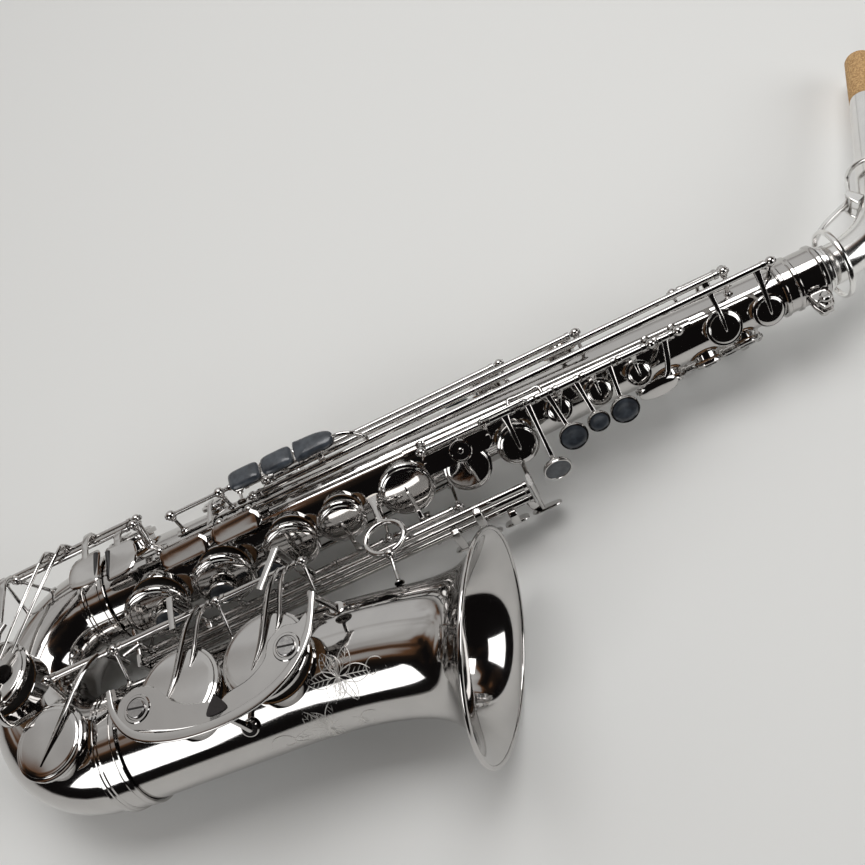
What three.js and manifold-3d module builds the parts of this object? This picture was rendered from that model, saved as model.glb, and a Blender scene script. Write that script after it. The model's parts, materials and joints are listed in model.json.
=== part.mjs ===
// Alto saxophone lying on its left side, in millimetres, +Z up.
//
// The instrument is drawn in its own frame and then laid down as one group:
//   +X runs up the body towards the neck, with zero at the mouth of the neck socket,
//   -Y points to the bell (the front), +Y to the player (the back),
//   +Z is the player's right-hand side, where the bell keys are.
// A key is drawn with its pad on its tone hole. A key that stands open is then turned back on its hinge.

import * as THREE from 'three';
import { mergeVertices } from 'three/addons/utils/BufferGeometryUtils.js';
import Module from 'manifold-3d';

const wasm = await Module();
wasm.setup();

// ---- Driving dimensions ----

const bodyLength = 465;
const bodyTopRadius = 13.6;
const bodyEndRadius = 27.5;
const bowRadius = 46;
const bowEndRadius = 31.5;
const bellLength = 223;
const bellThroatRadius = 35;
const rimRadius = 61.5;
const flareLength = 12;
const bellLean = 3;
const bellBend = 21;
const bellBendStart = 112;
const wall = 1.2;
const gap = 0.4;

const neckStraight = 4;
const neckBendRadius = 48;
const neckBendAngle = 64;
const neckTail = 118;
const neckStartRadius = 12;
const neckTipRadius = 7.1;
const neckWall = 0.9;
const corkLength = 37;
const corkRadius = 8.4;
const tenonRadius = 12.1;
const tenonLength = 24;
const tenonTop = 5;

const hingeRadius = 2.2;
const chimneyHeight = 2.5;
const chimneyWall = 1;
const cupHeight = 5.2;
const pearlRadius = 8.3;
const postBall = 2.9;

// How the instrument lies on a flat surface, resting on the bell rim, a palm key and the body-to-bow ring.
const restRoll = -11.594;
const restPitch = -1.759;

// ---- Colours ----

const blackNickel = { color: 0x2b2a2c, metalness: 1, roughness: 0.12 };
const silver = { color: 0xd9dadb, metalness: 1, roughness: 0.15 };
const corkTan = { color: 0xc08a4a, metalness: 0, roughness: 0.9 };
const paint = { blackNickel, silver, corkTan };

// ---- Small helpers ----

const degree = Math.PI / 180;
const alongX = new THREE.Vector3(1, 0, 0);
const alongY = new THREE.Vector3(0, 1, 0);
const alongZ = new THREE.Vector3(0, 0, 1);

const point = (x, y, z) => new THREE.Vector3(x, y, z);

/** Outward direction at an angle round the body: 0 is the front, 90 the right-hand side. */
function outward(angle) {
  return point(0, -Math.cos(angle * degree), Math.sin(angle * degree));
}

/** Point at a distance from the body's axis. */
function around(x, angle, distance) {
  return outward(angle).multiplyScalar(distance).setX(x);
}

function bodyRadius(x) {
  return bodyTopRadius + (bodyEndRadius - bodyTopRadius) * (-x / bodyLength);
}

/** Turns a closed three.js geometry into a solid, with its faces pointing out. */
function solid(geometry) {
  const bare = geometry.clone();
  bare.deleteAttribute('normal');
  bare.deleteAttribute('uv');
  const merged = mergeVertices(bare, 1e-4);
  const places = merged.attributes.position.array;
  const index = Array.from(merged.index.array);
  const corners = [];
  let volume = 0;
  for (let i = 0; i < index.length; i += 3) {
    const [a, b, c] = index.slice(i, i + 3);
    if (a === b || b === c || a === c) continue;
    corners.push(a, b, c);
    const [p, q, r] = [a, b, c].map((k) => point(places[3 * k], places[3 * k + 1], places[3 * k + 2]));
    volume += p.dot(q.cross(r));
  }
  if (volume < 0) corners.reverse();
  const mesh = new wasm.Mesh({
    numProp: 3,
    vertProperties: Float32Array.from(places),
    triVerts: Uint32Array.from(corners),
  });
  return new wasm.Manifold(mesh);
}

const joined = (...geometries) => geometries.map(solid).reduce((all, next) => all.add(next));

/** Back from a solid to a three.js geometry. */
function surface(shape) {
  const mesh = shape.getMesh();
  const geometry = new THREE.BufferGeometry();
  geometry.setAttribute('position', new THREE.BufferAttribute(new Float32Array(mesh.vertProperties), 3));
  geometry.setIndex(new THREE.BufferAttribute(new Uint32Array(mesh.triVerts), 1));
  return geometry;
}

/** Revolves [radius, height] pairs about a direction, starting at a base point. */
function turned(profile, base, direction, sides = 12) {
  const outline = profile.map(([radius, height]) => new THREE.Vector2(radius, height));
  const geometry = new THREE.LatheGeometry(outline, sides);
  const turn = new THREE.Quaternion().setFromUnitVectors(alongY, direction.clone().normalize());
  return geometry.applyQuaternion(turn).translate(base.x, base.y, base.z);
}

/** Round bar between two points. */
function bar(from, to, radius, sides = 6) {
  const span = to.clone().sub(from);
  const length = span.length();
  return turned([[0, 0], [radius, 0], [radius, length], [0, length]], from, span, sides);
}

/** Flat bar between two points, its broad face looking along a given direction. */
function strip(from, to, width, thickness, face) {
  const along = to.clone().sub(from);
  const length = along.length();
  along.normalize();
  const across = new THREE.Vector3().crossVectors(face, along).normalize();
  const up = new THREE.Vector3().crossVectors(along, across);
  const middle = from.clone().add(to).multiplyScalar(0.5);
  const frame = new THREE.Matrix4().makeBasis(along, across, up).setPosition(middle);
  return new THREE.BoxGeometry(length, width, thickness).applyMatrix4(frame);
}

/** Flat lever that runs through the points, its broad face looking along a given direction. */
function lever(points, width, thickness, face) {
  return points.slice(1).map((end, k) => {
    const reach = end.clone().sub(points[k]).setLength(0.4);
    return strip(points[k].clone().sub(reach), end.clone().add(reach), width, thickness, face);
  });
}

/** Round wire swept along a smooth curve through the points. */
function wire(points, radius, steps, closed = false, sides = 6) {
  const section = new THREE.Shape();
  for (let i = 0; i < sides; i += 1) {
    const angle = (i / sides) * 2 * Math.PI;
    const corner = [radius * Math.cos(angle), radius * Math.sin(angle)];
    if (i === 0) section.moveTo(...corner);
    else section.lineTo(...corner);
  }
  const path = new THREE.CatmullRomCurve3(points, closed);
  return new THREE.ExtrudeGeometry(section, { steps, bevelEnabled: false, extrudePath: path });
}

/** Flat plate cut from a smooth outline of [x, y] pairs, laid at a height and facing +Z. */
function plate(outline, height, thickness) {
  const corners = outline.map(([x, y]) => new THREE.Vector2(x, y));
  const shape = new THREE.Shape();
  shape.moveTo(corners[0].x, corners[0].y);
  shape.splineThru(corners.slice(1).concat(corners[0]));
  const settings = { depth: thickness, bevelEnabled: false, curveSegments: 2 };
  const geometry = new THREE.ExtrudeGeometry(shape, settings);
  return geometry.translate(0, 0, height);
}

/** Solid horn through stations { centre, tangent, radius } whose centres lie in the plane of the bow. */
function horn(stations, sides) {
  const places = [];
  const corners = [];
  for (const { centre, tangent, radius } of stations) {
    const side = new THREE.Vector3().crossVectors(tangent, alongZ).normalize();
    for (let i = 0; i < sides; i += 1) {
      const angle = (i / sides) * 2 * Math.PI;
      const place = centre.clone().addScaledVector(side, radius * Math.cos(angle));
      place.z += radius * Math.sin(angle);
      places.push(place.x, place.y, place.z);
    }
  }
  const last = stations.length - 1;
  const ends = [stations[0].centre, stations[last].centre];
  ends.forEach((centre) => places.push(centre.x, centre.y, centre.z));
  const ring = (row, i) => row * sides + (i % sides);
  for (let row = 0; row < last; row += 1) {
    for (let i = 0; i < sides; i += 1) {
      corners.push(ring(row, i), ring(row, i + 1), ring(row + 1, i + 1));
      corners.push(ring(row, i), ring(row + 1, i + 1), ring(row + 1, i));
    }
  }
  const firstCap = stations.length * sides;
  for (let i = 0; i < sides; i += 1) {
    corners.push(firstCap, ring(0, i + 1), ring(0, i));
    corners.push(firstCap + 1, ring(last, i), ring(last, i + 1));
  }
  const geometry = new THREE.BufferGeometry();
  geometry.setAttribute('position', new THREE.Float32BufferAttribute(places, 3));
  geometry.setIndex(corners);
  return geometry;
}

/** Hollow horn: the outer surface less the bore, which runs out past both ends. */
function hollowHorn(outer, inner, sides, lengthen = 1) {
  const bore = inner.map((station) => ({ ...station, centre: station.centre.clone() }));
  bore[0].centre.addScaledVector(bore[0].tangent, -lengthen);
  bore[bore.length - 1].centre.addScaledVector(bore[bore.length - 1].tangent, lengthen);
  return [solid(horn(outer, sides)), solid(horn(bore, sides))];
}

// ---- The group and its meshes ----

const instrument = new THREE.Group();
const laidDown = new THREE.Group();
laidDown.add(instrument);

/** Adds one named mesh. A moving piece carries its hinge: a point, an axis and a range in degrees. */
function addMesh(name, shape, look, hinge = null) {
  const geometry = surface(shape);
  geometry.computeVertexNormals();
  const mesh = new THREE.Mesh(geometry, new THREE.MeshStandardMaterial(look));
  mesh.name = name;
  if (hinge) mesh.userData.hinge = hinge;
  instrument.add(mesh);
}

// ---- Tone holes ----

/** Tone holes on the body: place up the body, angle round it and the radius of the key cup above. */
const bodyHoles = {
  d: { x: -421, angle: 35, cup: 19 },
  e: { x: -378, angle: 35, cup: 18.4 },
  f: { x: -334, angle: 35, cup: 16.5 },
  fsharp: { x: -302, angle: 35, cup: 14.4 },
  gsharp: { x: -262, angle: 29, cup: 16.5 },
  g: { x: -225, angle: 24, cup: 14 },
  a: { x: -194, angle: 22, cup: 12.4 },
  bis: { x: -165, angle: 40, cup: 7.6 },
  b: { x: -141, angle: 38, cup: 8 },
  c: { x: -117, angle: 38, cup: 7.4 },
  lowEb: { x: -432, angle: 142, cup: 15.6 },
  trill: { x: -374, angle: 134, cup: 8.4 },
  sideBb: { x: -196, angle: 160, cup: 11.6 },
  sideC: { x: -150, angle: 150, cup: 11 },
  highE: { x: -64, angle: 39, cup: 10.4 },
  highFsharp: { x: -38, angle: 32, cup: 9.4 },
  palmD: { x: -100, angle: -30, cup: 9.4 },
  palmEb: { x: -76, angle: -36, cup: 9 },
  palmF: { x: -53, angle: -30, cup: 8.6 },
  octave: { x: -62, angle: 180, cup: 4.6 },
};

/** Height of a tone hole's flat top above the body's axis. */
const seat = ({ x }) => bodyRadius(x) + chimneyHeight;

// ---- Body, bow and bell ----

function bowStation(turn, radius) {
  const angle = turn * degree;
  return {
    centre: point(-bodyLength - bowRadius * Math.sin(angle), bowRadius * (Math.cos(angle) - 1), 0),
    tangent: point(-Math.cos(angle), -Math.sin(angle), 0),
    radius,
  };
}

const bowTurn = 180 - bellLean;
const bowTail = 10;
const bowRadiusAt = (turn) => bodyEndRadius + (bowEndRadius - bodyEndRadius) * (turn / bowTurn);

function bellOuter(distance) {
  const cone = bowEndRadius + (bellThroatRadius - bowEndRadius) * (distance / bellLength);
  return cone + (rimRadius - bellThroatRadius) * Math.exp(-(bellLength - distance) / flareLength);
}

function bellInner(distance) {
  const step = 0.1;
  const slope = (bellOuter(distance) - bellOuter(distance - step)) / step;
  return bellOuter(distance) - wall * Math.hypot(1, slope);
}

function bellStation(distance, radius) {
  const start = bowStation(bowTurn, 0);
  const bent = Math.max(0, distance - bellBendStart);
  const curveRadius = (bellLength - bellBendStart) / (bellBend * degree);
  const turned0 = bellLean * degree;
  const turned1 = turned0 + bent / curveRadius;
  const straight = distance - bent;
  const centre = point(
    start.centre.x + straight * Math.cos(turned0) + curveRadius * (Math.sin(turned1) - Math.sin(turned0)),
    start.centre.y - straight * Math.sin(turned0) + curveRadius * (Math.cos(turned1) - Math.cos(turned0)),
    0,
  );
  return { centre, tangent: point(Math.cos(turned1), -Math.sin(turned1), 0), radius };
}

/** A tone hole's chimney and the hole through it, standing on a base point. */
function chimney(base, direction, radius, height, depth) {
  const foot = base.clone().addScaledVector(direction, -depth);
  const top = base.clone().addScaledVector(direction, height);
  const beyond = base.clone().addScaledVector(direction, height + 1);
  const sides = radius > 10 ? 12 : 6;
  return [bar(foot, top, radius, sides), bar(foot, beyond, radius - chimneyWall, sides)];
}

/** The body tube with the posts that are soldered straight to it. */
function makeBody(posts) {
  const station = (x, inset) => ({ centre: point(x, 0, 0), tangent: alongX, radius: bodyRadius(x) - inset });
  const places = [-bodyLength + gap, -26, 0];
  const outer = places.map((x) => station(x, 0));
  const inner = places.map((x) => station(x, wall));
  let [skin, bore] = hollowHorn(outer, inner, 16);
  for (const hole of Object.values(bodyHoles)) {
    const depth = bodyRadius(hole.x) * 0.55;
    const base = around(hole.x, hole.angle, bodyRadius(hole.x));
    const [tube, opening] = chimney(base, outward(hole.angle), hole.cup - 2.4, chimneyHeight, depth);
    skin = skin.add(solid(tube));
    bore = bore.add(solid(opening));
  }
  addMesh('body_tube', skin.subtract(bore).add(joined(...posts)), paint.blackNickel);
}

/** Tone holes that face right on the bow and bell, each with the centre of its cup. */
const lowHoles = {
  c: { centre: bowStation(85, 0).centre, cup: 21.5 },
  csharp: { centre: bowStation(156, 0).centre, cup: 20.5 },
  b: { centre: point(-403, -95.5, 0), cup: 23.6 },
  bb: { centre: point(-353, -98, 0), cup: 24 },
};
const lowSeat = 36;

function addLowHole(skin, bore, { centre, cup }) {
  const base = centre.clone().setZ(lowSeat - 6);
  const [tube, opening] = chimney(base, alongZ, cup - 2.6, 6, 20);
  return [skin.add(solid(tube)), bore.add(solid(opening))];
}

/** The bow with the posts that are soldered straight to it. */
function makeBow(posts) {
  const turns = [0.6, 25, 50, 75, 100, 125, 150, bowTurn];
  const outer = turns.map((turn) => bowStation(turn, bowRadiusAt(turn)));
  const inner = turns.map((turn) => bowStation(turn, bowRadiusAt(turn) - wall));
  outer.push(bellStation(bowTail, bowEndRadius));
  inner.push(bellStation(bowTail, bowEndRadius - wall));
  let [skin, bore] = hollowHorn(outer, inner, 16);
  [skin, bore] = addLowHole(skin, bore, lowHoles.c);
  [skin, bore] = addLowHole(skin, bore, lowHoles.csharp);
  addMesh('bow', skin.subtract(bore).add(joined(...posts)), paint.blackNickel);
}

function makeBell() {
  const places = [bowTail + gap, bellBendStart, 150, 180, 197, 208, 215, 220, bellLength];
  const outer = places.map((distance) => bellStation(distance, bellOuter(distance)));
  const inner = places.map((distance) => bellStation(distance, bellInner(distance)));
  let [skin, bore] = hollowHorn(outer, inner, 22, 0.5);
  [skin, bore] = addLowHole(skin, bore, lowHoles.b);
  [skin, bore] = addLowHole(skin, bore, lowHoles.bb);
  const { centre, tangent } = bellStation(bellLength, 0);
  const bead = turned(
    [[rimRadius - 1.4, -1.6], [rimRadius + 0.2, -1.4], [rimRadius, 0.4], [rimRadius - 1.4, -1.6]],
    centre, tangent, 22,
  );
  addMesh('bell', skin.subtract(bore).add(solid(bead)), paint.blackNickel);
}

/** Joint ring with two raised bands, round the tube at a station. */
function jointRing(name, { centre, tangent }, radius, halfLength) {
  const sides = 18;
  const inside = (radius + gap) / Math.cos(Math.PI / sides);
  const band = 3;
  const profile = [
    [inside, -halfLength], [inside + 1.6, -halfLength], [inside + 1.6, band - halfLength],
    [inside + 0.7, band - halfLength], [inside + 0.7, halfLength - band], [inside + 1.6, halfLength - band],
    [inside + 1.6, halfLength], [inside, halfLength], [inside, -halfLength],
  ];
  addMesh(name, solid(turned(profile, centre, tangent, sides)), paint.blackNickel);
}

jointRing('body_bow_ring', { centre: point(-458, 0, 0), tangent: alongX }, bodyEndRadius, 8);
jointRing('bow_bell_ring', bellStation(bowTail, 0), bowEndRadius + 0.3, 8);

// ---- Posts, ribs and the pieces fixed to the tubes ----

/** Post with a ball head on the hinge line and a foot at its base. */
function post(base, head) {
  const span = head.clone().sub(base);
  const length = span.length();
  const profile = [
    [0, 0], [2.6, 0], [1.2, 2.2], [1.2, length - postBall], [postBall, length], [0, length + postBall],
  ];
  return turned(profile, base, span, 6);
}

/** Rib along the body at an angle, with a post to a hinge line at each place. */
function rib(name, angle, from, to, line, places) {
  const lift = gap + 0.7;
  const start = around(from, angle, bodyRadius(from) + lift);
  const end = around(to, angle, bodyRadius(to) + lift);
  const base = strip(start, end, 5, 1.2, outward(angle));
  const posts = places.map((x) => post(around(x, angle, bodyRadius(x) + lift + 0.6), point(x, ...line)));
  addMesh(name, joined(base, ...posts), paint.blackNickel);
}

/** Hinge lines, each parallel to the body's axis, as [y, z]. */
const lines = {
  lowerStack: [-38.5, -4],
  upperStack: [-14.8, 27.9],
  highFsharp: [-2.5, 32.5],
  highE: [6, 31],
  sideC: [14, 28],
  sideBb: [20.5, 24],
  palm: [-6, -27],
  octave: [24, -14],
  bodyOctave: [22, 11],
  lowC: [24, 36],
  lowEb: [17.5, 40.5],
  bellCups: [-50, 34.5],
  bTouch: [-47.5, 3],
  bbTouch: [-47.5, -5],
  csharpTouch: [-47.5, -13],
  gsharpTouch: [-43.5, -21],
};

rib('lower_stack_rib', -20, -447, -237, lines.lowerStack, [-443.6, -355, -284.5, -240]);
rib('upper_stack_rib', 75, -248, -87, lines.upperStack, [-244.6, -105.6, -89.6]);
rib('high_fsharp_rib', 88, -411, -344, lines.highFsharp, [-407.4, -368, -349]);
rib('palm_key_rib', -77, -119, -37, lines.palm, [-115.3, -40.6]);

/** Post on a round foot of its own, soldered to the body. */
const bodyPost = (x, line, angle) => post(around(x, angle, bodyRadius(x) - 0.7), point(x, ...line));

function makeSideRib() {
  const foot = strip(
    around(-398, 108, bodyRadius(-398) + gap + 1.1),
    around(-330, 114, bodyRadius(-330) + gap + 1.1),
    6, 2, outward(111),
  );
  const ribPost = (x, line, angle) => post(around(x, angle, bodyRadius(x) + gap + 1.7), point(x, ...line));
  const rodLine = [12, 40];
  const pieces = [
    foot,
    ribPost(-345.4, lines.highE, 112),
    ribPost(-355.3, lines.sideBb, 113),
    ribPost(-336.3, lines.sideC, 115),
    ribPost(-393.5, rodLine, 108),
    ribPost(-361.5, rodLine, 111),
    bar(point(-393.5, ...rodLine), point(-354.5, ...rodLine), 1.3),
  ];
  addMesh('side_key_rib', joined(...pieces), paint.blackNickel);
}

const bodyPosts = [
  bodyPost(-184.7, lines.sideBb, 131),
  bodyPost(-138.6, lines.sideC, 122),
  bodyPost(-52.6, lines.highE, 99),
  bodyPost(-29.6, lines.highFsharp, 94),
  bodyPost(-77.3, lines.bodyOctave, 153),
  bodyPost(-46.7, lines.bodyOctave, 153),
  bodyPost(-417.6, lines.lowC, 120),
  bodyPost(-417.6, lines.lowEb, 113),
];

/** Point on the bow: how far round it, the angle round its tube from the outside bend, the height above. */
function onBow(turn, angle, height) {
  const { centre } = bowStation(turn, 0);
  const outside = point(-Math.sin(turn * degree), Math.cos(turn * degree), 0);
  const radius = bowRadiusAt(turn) + height;
  const spot = centre.addScaledVector(outside, radius * Math.cos(angle * degree));
  return spot.setZ(radius * Math.sin(angle * degree));
}

const bowPosts = [
  post(onBow(20, 55, -0.7), point(-497.2, ...lines.lowEb)),
  post(onBow(38, 52, -0.7), point(-509.7, ...lines.lowC)),
  post(onBow(124, 140, -0.7), point(-486.4, ...lines.bellCups)),
];

/** Carriers of the three long rods that run from the little-finger table to the low keys. */
function makeRodCarriers() {
  const carrier = (x, angle, top, bottom, joint) => {
    const skin = bodyRadius(x) + gap;
    return [
      strip(around(x, angle, skin + 1.7), point(x, ...joint), 4.5, 3, alongX),
      strip(point(x, -47.5, top), point(x, -47.5, bottom), 8, 2.4, alongX),
      strip(around(x - 4, angle, skin + 0.7), around(x + 4, angle, skin + 0.7), 8, 1.2, outward(angle)),
    ];
  };
  addMesh('table_rod_carrier', joined(...carrier(-197, -46, 6.5, -25, [-45.5, -16])), paint.blackNickel);
  addMesh('low_rod_carrier', joined(...carrier(-445.4, 14, 6.5, -16.5, [-47, 3])), paint.blackNickel);
}

function makeBellPosts() {
  const [y, z] = lines.bellCups;
  const base = (x) => {
    const along = x + bodyLength;
    const distance = bellOuter(along) + gap + 0.8;
    return point(x, bellStation(along, 0).centre.y + 0.76 * distance, 0.65 * distance);
  };
  const pieces = [
    strip(base(-445), base(-322), 5, 1.4, point(0, 0.76, 0.65)),
    ...[-443.2, -378.4, -325.6].map((x) => post(base(x), point(x, y, z))),
  ];
  addMesh('bell_key_rib', joined(...pieces), paint.blackNickel);
}

makeBody(bodyPosts);
makeBow(bowPosts);
makeBell();
makeSideRib();
makeRodCarriers();
makeBellPosts();

// ---- Keys ----

/** Key cup with its pad, closed side down, on a base point. */
function cup(base, facing, radius) {
  const height = radius < 11 ? 4 : cupHeight;
  const profile = [
    [0, 0], [radius, 0], [radius, height * 0.6], [radius * 0.8, height], [0, height],
  ];
  return turned(profile, base, facing, radius > 11 ? 12 : 10);
}

/** Finger pearl in its round holder. */
function pearl({ x, angle, distance, radius = pearlRadius }) {
  const profile = [[0, 0], [radius, 0], [radius, 3.4], [0, 3.4]];
  return turned(profile, around(x, angle, distance), outward(angle), 10);
}

/** Oval finger plate whose long side runs along the body. */
function touch(centre, facing, length, width, thickness) {
  const disc = turned([[0, 0], [0.5, 0], [0.5, 1], [0, 1]], point(0, 0, 0), alongY, 10);
  const across = new THREE.Vector3().crossVectors(alongX, facing).normalize();
  const frame = new THREE.Matrix4().makeBasis(alongX, facing, across).setPosition(centre);
  return disc.applyMatrix4(new THREE.Matrix4().makeScale(length, thickness, width)).applyMatrix4(frame);
}

const tube = (line, from, to) => bar(point(from, ...line), point(to, ...line), hingeRadius, 6);

/** Turning sense about +X that moves a place along a direction, for a hinge on a line. */
function sense([y, z], place, direction) {
  const arm = place.clone().sub(point(place.x, y, z));
  return Math.sign(new THREE.Vector3().crossVectors(alongX, arm).dot(direction));
}

/** Adds a key that turns on a line. Its travel is in degrees; a key that stands open is drawn closed. */
function addKey(name, line, pieces, lifts, travel, standsOpen) {
  let shape = joined(...pieces);
  const [y, z] = line;
  if (standsOpen) {
    shape = shape.translate([0, -y, -z]).rotate([lifts * travel, 0, 0]).translate([0, y, z]);
  }
  const press = standsOpen ? -lifts : lifts;
  addMesh(name, shape, paint.blackNickel, { point: [0, y, z], axis: [press, 0, 0], range: [0, travel] });
}

/** Arm from a hinge line over the near edge of a cup to its middle. */
function cupArm(line, x, base, facing, radius, width = 4.2) {
  const height = radius < 11 ? 4 : cupHeight;
  const hinge = point(x, ...line);
  const top = base.clone().addScaledVector(facing, height - 0.2);
  const edge = hinge.clone().sub(top).projectOnPlane(facing).setLength(radius * 0.78).add(top);
  return lever([hinge, edge, top], width, 2.2, facing);
}

/** Cup, arm and hinge tube of a key over a hole on the body. */
function bodyKey(hole, line, tubes, armPlace = hole.x) {
  const facing = outward(hole.angle);
  const base = around(hole.x, hole.angle, seat(hole) + gap);
  const pieces = [
    cup(base, facing, hole.cup),
    ...cupArm(line, armPlace, base, facing, hole.cup),
    ...tubes.map(([from, to]) => tube(line, from, to)),
  ];
  return { pieces, lifts: sense(line, base, facing) };
}

/** Arm from a hinge line to the underside of a pearl. */
function pearlArm(line, x, spot) {
  const under = around(spot.x, spot.angle, spot.distance + 0.6);
  return strip(point(x, ...line), under, 2.6, 2, outward(spot.angle));
}

/** Parallel bar that joins the two hinge tubes of one key past a tube that belongs to another. */
function bypass(line, [dy, dz], from, to) {
  const [y, z] = line;
  const away = point(0, dz, -dy);
  return [
    bar(point(from - 1, y + dy, z + dz), point(to + 1, y + dy, z + dz), 1.2),
    strip(point(from, y, z), point(from, y + dy, z + dz), 2, 2, away),
    strip(point(to, y, z), point(to, y + dy, z + dz), 2, 2, away),
  ];
}

function makeLowerStack() {
  const line = lines.lowerStack;
  const keys = [
    ['d_key', bodyHoles.d, [-440.3, -400.5], { x: -415, angle: 31 }],
    ['e_key', bodyHoles.e, [-399.7, -358.3], { x: -380, angle: 31 }],
    ['f_key', bodyHoles.f, [-351.7, -318.5], { x: -350, angle: 28 }],
    ['fsharp_key', bodyHoles.fsharp, [-317.7, -287.8], null],
  ];
  for (const [name, hole, span, spot] of keys) {
    const { pieces, lifts } = bodyKey(hole, line, [span]);
    if (spot) {
      const distance = seat(hole) + gap + cupHeight + 1.8;
      const facing = outward(hole.angle);
      pieces.push(pearl({ ...spot, distance }));
      const cupTop = around(hole.x, hole.angle, seat(hole) + cupHeight - 0.6);
      const under = around(spot.x, spot.angle, distance + 1);
      pieces.push(strip(cupTop, under, 3.4, 2, point(0, -facing.z, facing.y)));
    }
    addKey(name, line, pieces, lifts, 15, true);
  }
}

function makeUpperStack() {
  const line = lines.upperStack;
  const spots = {
    g: { x: -180, angle: -6, distance: 37.5 },
    a: { x: -164.5, angle: 14, distance: 33.5 },
    bis: { x: -148.5, angle: 16, distance: 32.5, radius: 6.4 },
    b: { x: -133, angle: 15, distance: 32 },
  };
  const keys = [
    ['g_key', bodyHoles.g, [[-241.2, -206.4], [-184.4, -175.6]], bodyHoles.g.x, spots.g, -180, 14],
    ['a_key', bodyHoles.a, [[-205.2, -187.6], [-174.4, -164.6]], bodyHoles.a.x, spots.a, -168, 12],
    ['bis_key', bodyHoles.bis, [[-163.4, -148.6]], -160, spots.bis, -151, 9],
    ['b_key', bodyHoles.b, [[-147.4, -127]], bodyHoles.b.x, spots.b, -131, 10],
    ['c_key', bodyHoles.c, [[-126, -109]], bodyHoles.c.x, null, 0, 10],
  ];
  for (const [name, hole, tubes, cupPlace, spot, pearlPlace, travel] of keys) {
    const { pieces, lifts } = bodyKey(hole, line, tubes, cupPlace);
    if (spot) pieces.push(pearl(spot), pearlArm(line, pearlPlace, spot));
    if (name === 'g_key') pieces.push(...bypass(line, [-2.6, 4.9], -208.5, -180));
    if (name === 'a_key') pieces.push(...bypass(line, [4.9, 2.6], -190, -170));
    addKey(name, line, pieces, lifts, travel, true);
  }
  const centre = around(-112, 16, 31);
  const frontF = [
    tube(line, -102.2, -93),
    touch(centre, outward(16), 17, 12, 2.4),
    strip(point(-98, ...line), around(-110, 18, 32), 3, 2, outward(20)),
  ];
  addKey('front_f_key', line, frontF, sense(line, centre, outward(196)), 7, false);
}

function makeGsharp() {
  const { pieces, lifts } = bodyKey(bodyHoles.gsharp, lines.lowerStack, [[-281.3, -243.2]]);
  pieces.push(...lever([point(-259, ...lines.lowerStack), point(-259, -32.5, -5)], 2, 4, alongX));
  addKey('gsharp_key', lines.lowerStack, pieces, lifts, 12, false);
}

/** Side key: a cup near one end of a long rod and a finger piece near the other. */
function makeSideKeys() {
  const handle = (x) => touch(point(x, 12, 41.4), alongZ, 18, 10, 4.6);
  const keys = [
    ['side_bb_key', bodyHoles.sideBb, lines.sideBb, [-352, -188], -343,
      [bar(point(-343, ...lines.sideBb), point(-343, 20.5, 38.5), 1.6),
        bar(point(-343, 20.5, 38), point(-343, 13, 43), 1.6)]],
    ['side_c_key', bodyHoles.sideC, lines.sideC, [-333, -142], -322,
      [bar(point(-322, ...lines.sideC), point(-322, 13, 42), 1.6)]],
    ['high_e_key', bodyHoles.highE, lines.highE, [-342, -56], -299,
      [bar(point(-299, ...lines.highE), point(-299, 10, 42), 1.6),
        wire([point(-292, 11, 43.5), point(-280, 9, 43), point(-272, 7, 37), point(-270, 6, 31)], 1.3, 8)]],
  ];
  for (const [name, hole, line, span, handlePlace, arms] of keys) {
    const { pieces, lifts } = bodyKey(hole, line, [span]);
    addKey(name, line, [...pieces, handle(handlePlace), ...arms], lifts, 10, false);
  }
  const { pieces, lifts } = bodyKey(bodyHoles.highFsharp, lines.highFsharp, [[-345.8, -32.8]]);
  addKey('high_fsharp_key', lines.highFsharp, pieces, lifts, 10, false);
  const plateCentre = (x) => point(x, -13, 36.6);
  const tilt = outward(72);
  const touchPieces = [
    tube(lines.highFsharp, -364.8, -352.2),
    touch(plateCentre(-357), tilt, 27, 11, 2),
    strip(point(-358.5, ...lines.highFsharp), point(-358.5, -12, 37.4), 5, 2, tilt),
  ];
  addKey('high_fsharp_touch', lines.highFsharp, touchPieces, sense(lines.highFsharp, plateCentre(-357),
    tilt.clone().negate()), 8, false);
  const trill = bodyKey(bodyHoles.trill, lines.highFsharp, [[-404, -371.2]]);
  trill.pieces.push(
    touch(plateCentre(-390.5), tilt, 27, 11, 2),
    strip(point(-392, ...lines.highFsharp), point(-392, -12, 37.4), 5, 2, tilt),
  );
  addKey('fsharp_trill_key', lines.highFsharp, trill.pieces, trill.lifts, 8, false);
}

function makePalmKeys() {
  const keys = [
    ['palm_d_key', bodyHoles.palmD, [-112, -89.5], [-106, 8, -36.5]],
    ['palm_eb_key', bodyHoles.palmEb, [-88.5, -65], [-80, 6, -38]],
    ['palm_f_key', bodyHoles.palmF, [-64, -44], [-54, 5, -38]],
  ];
  for (const [name, hole, span, [x, y, z]] of keys) {
    const { pieces, lifts } = bodyKey(hole, lines.palm, [span]);
    const facing = point(0, 0.25, -0.97);
    pieces.push(touch(point(x, y, z), facing, 21, 12, 2.6));
    pieces.push(strip(point(x, ...lines.palm), point(x, y, z - 1), 5, 2.2, facing));
    addKey(name, lines.palm, pieces, lifts, 12, false);
  }
}

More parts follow.
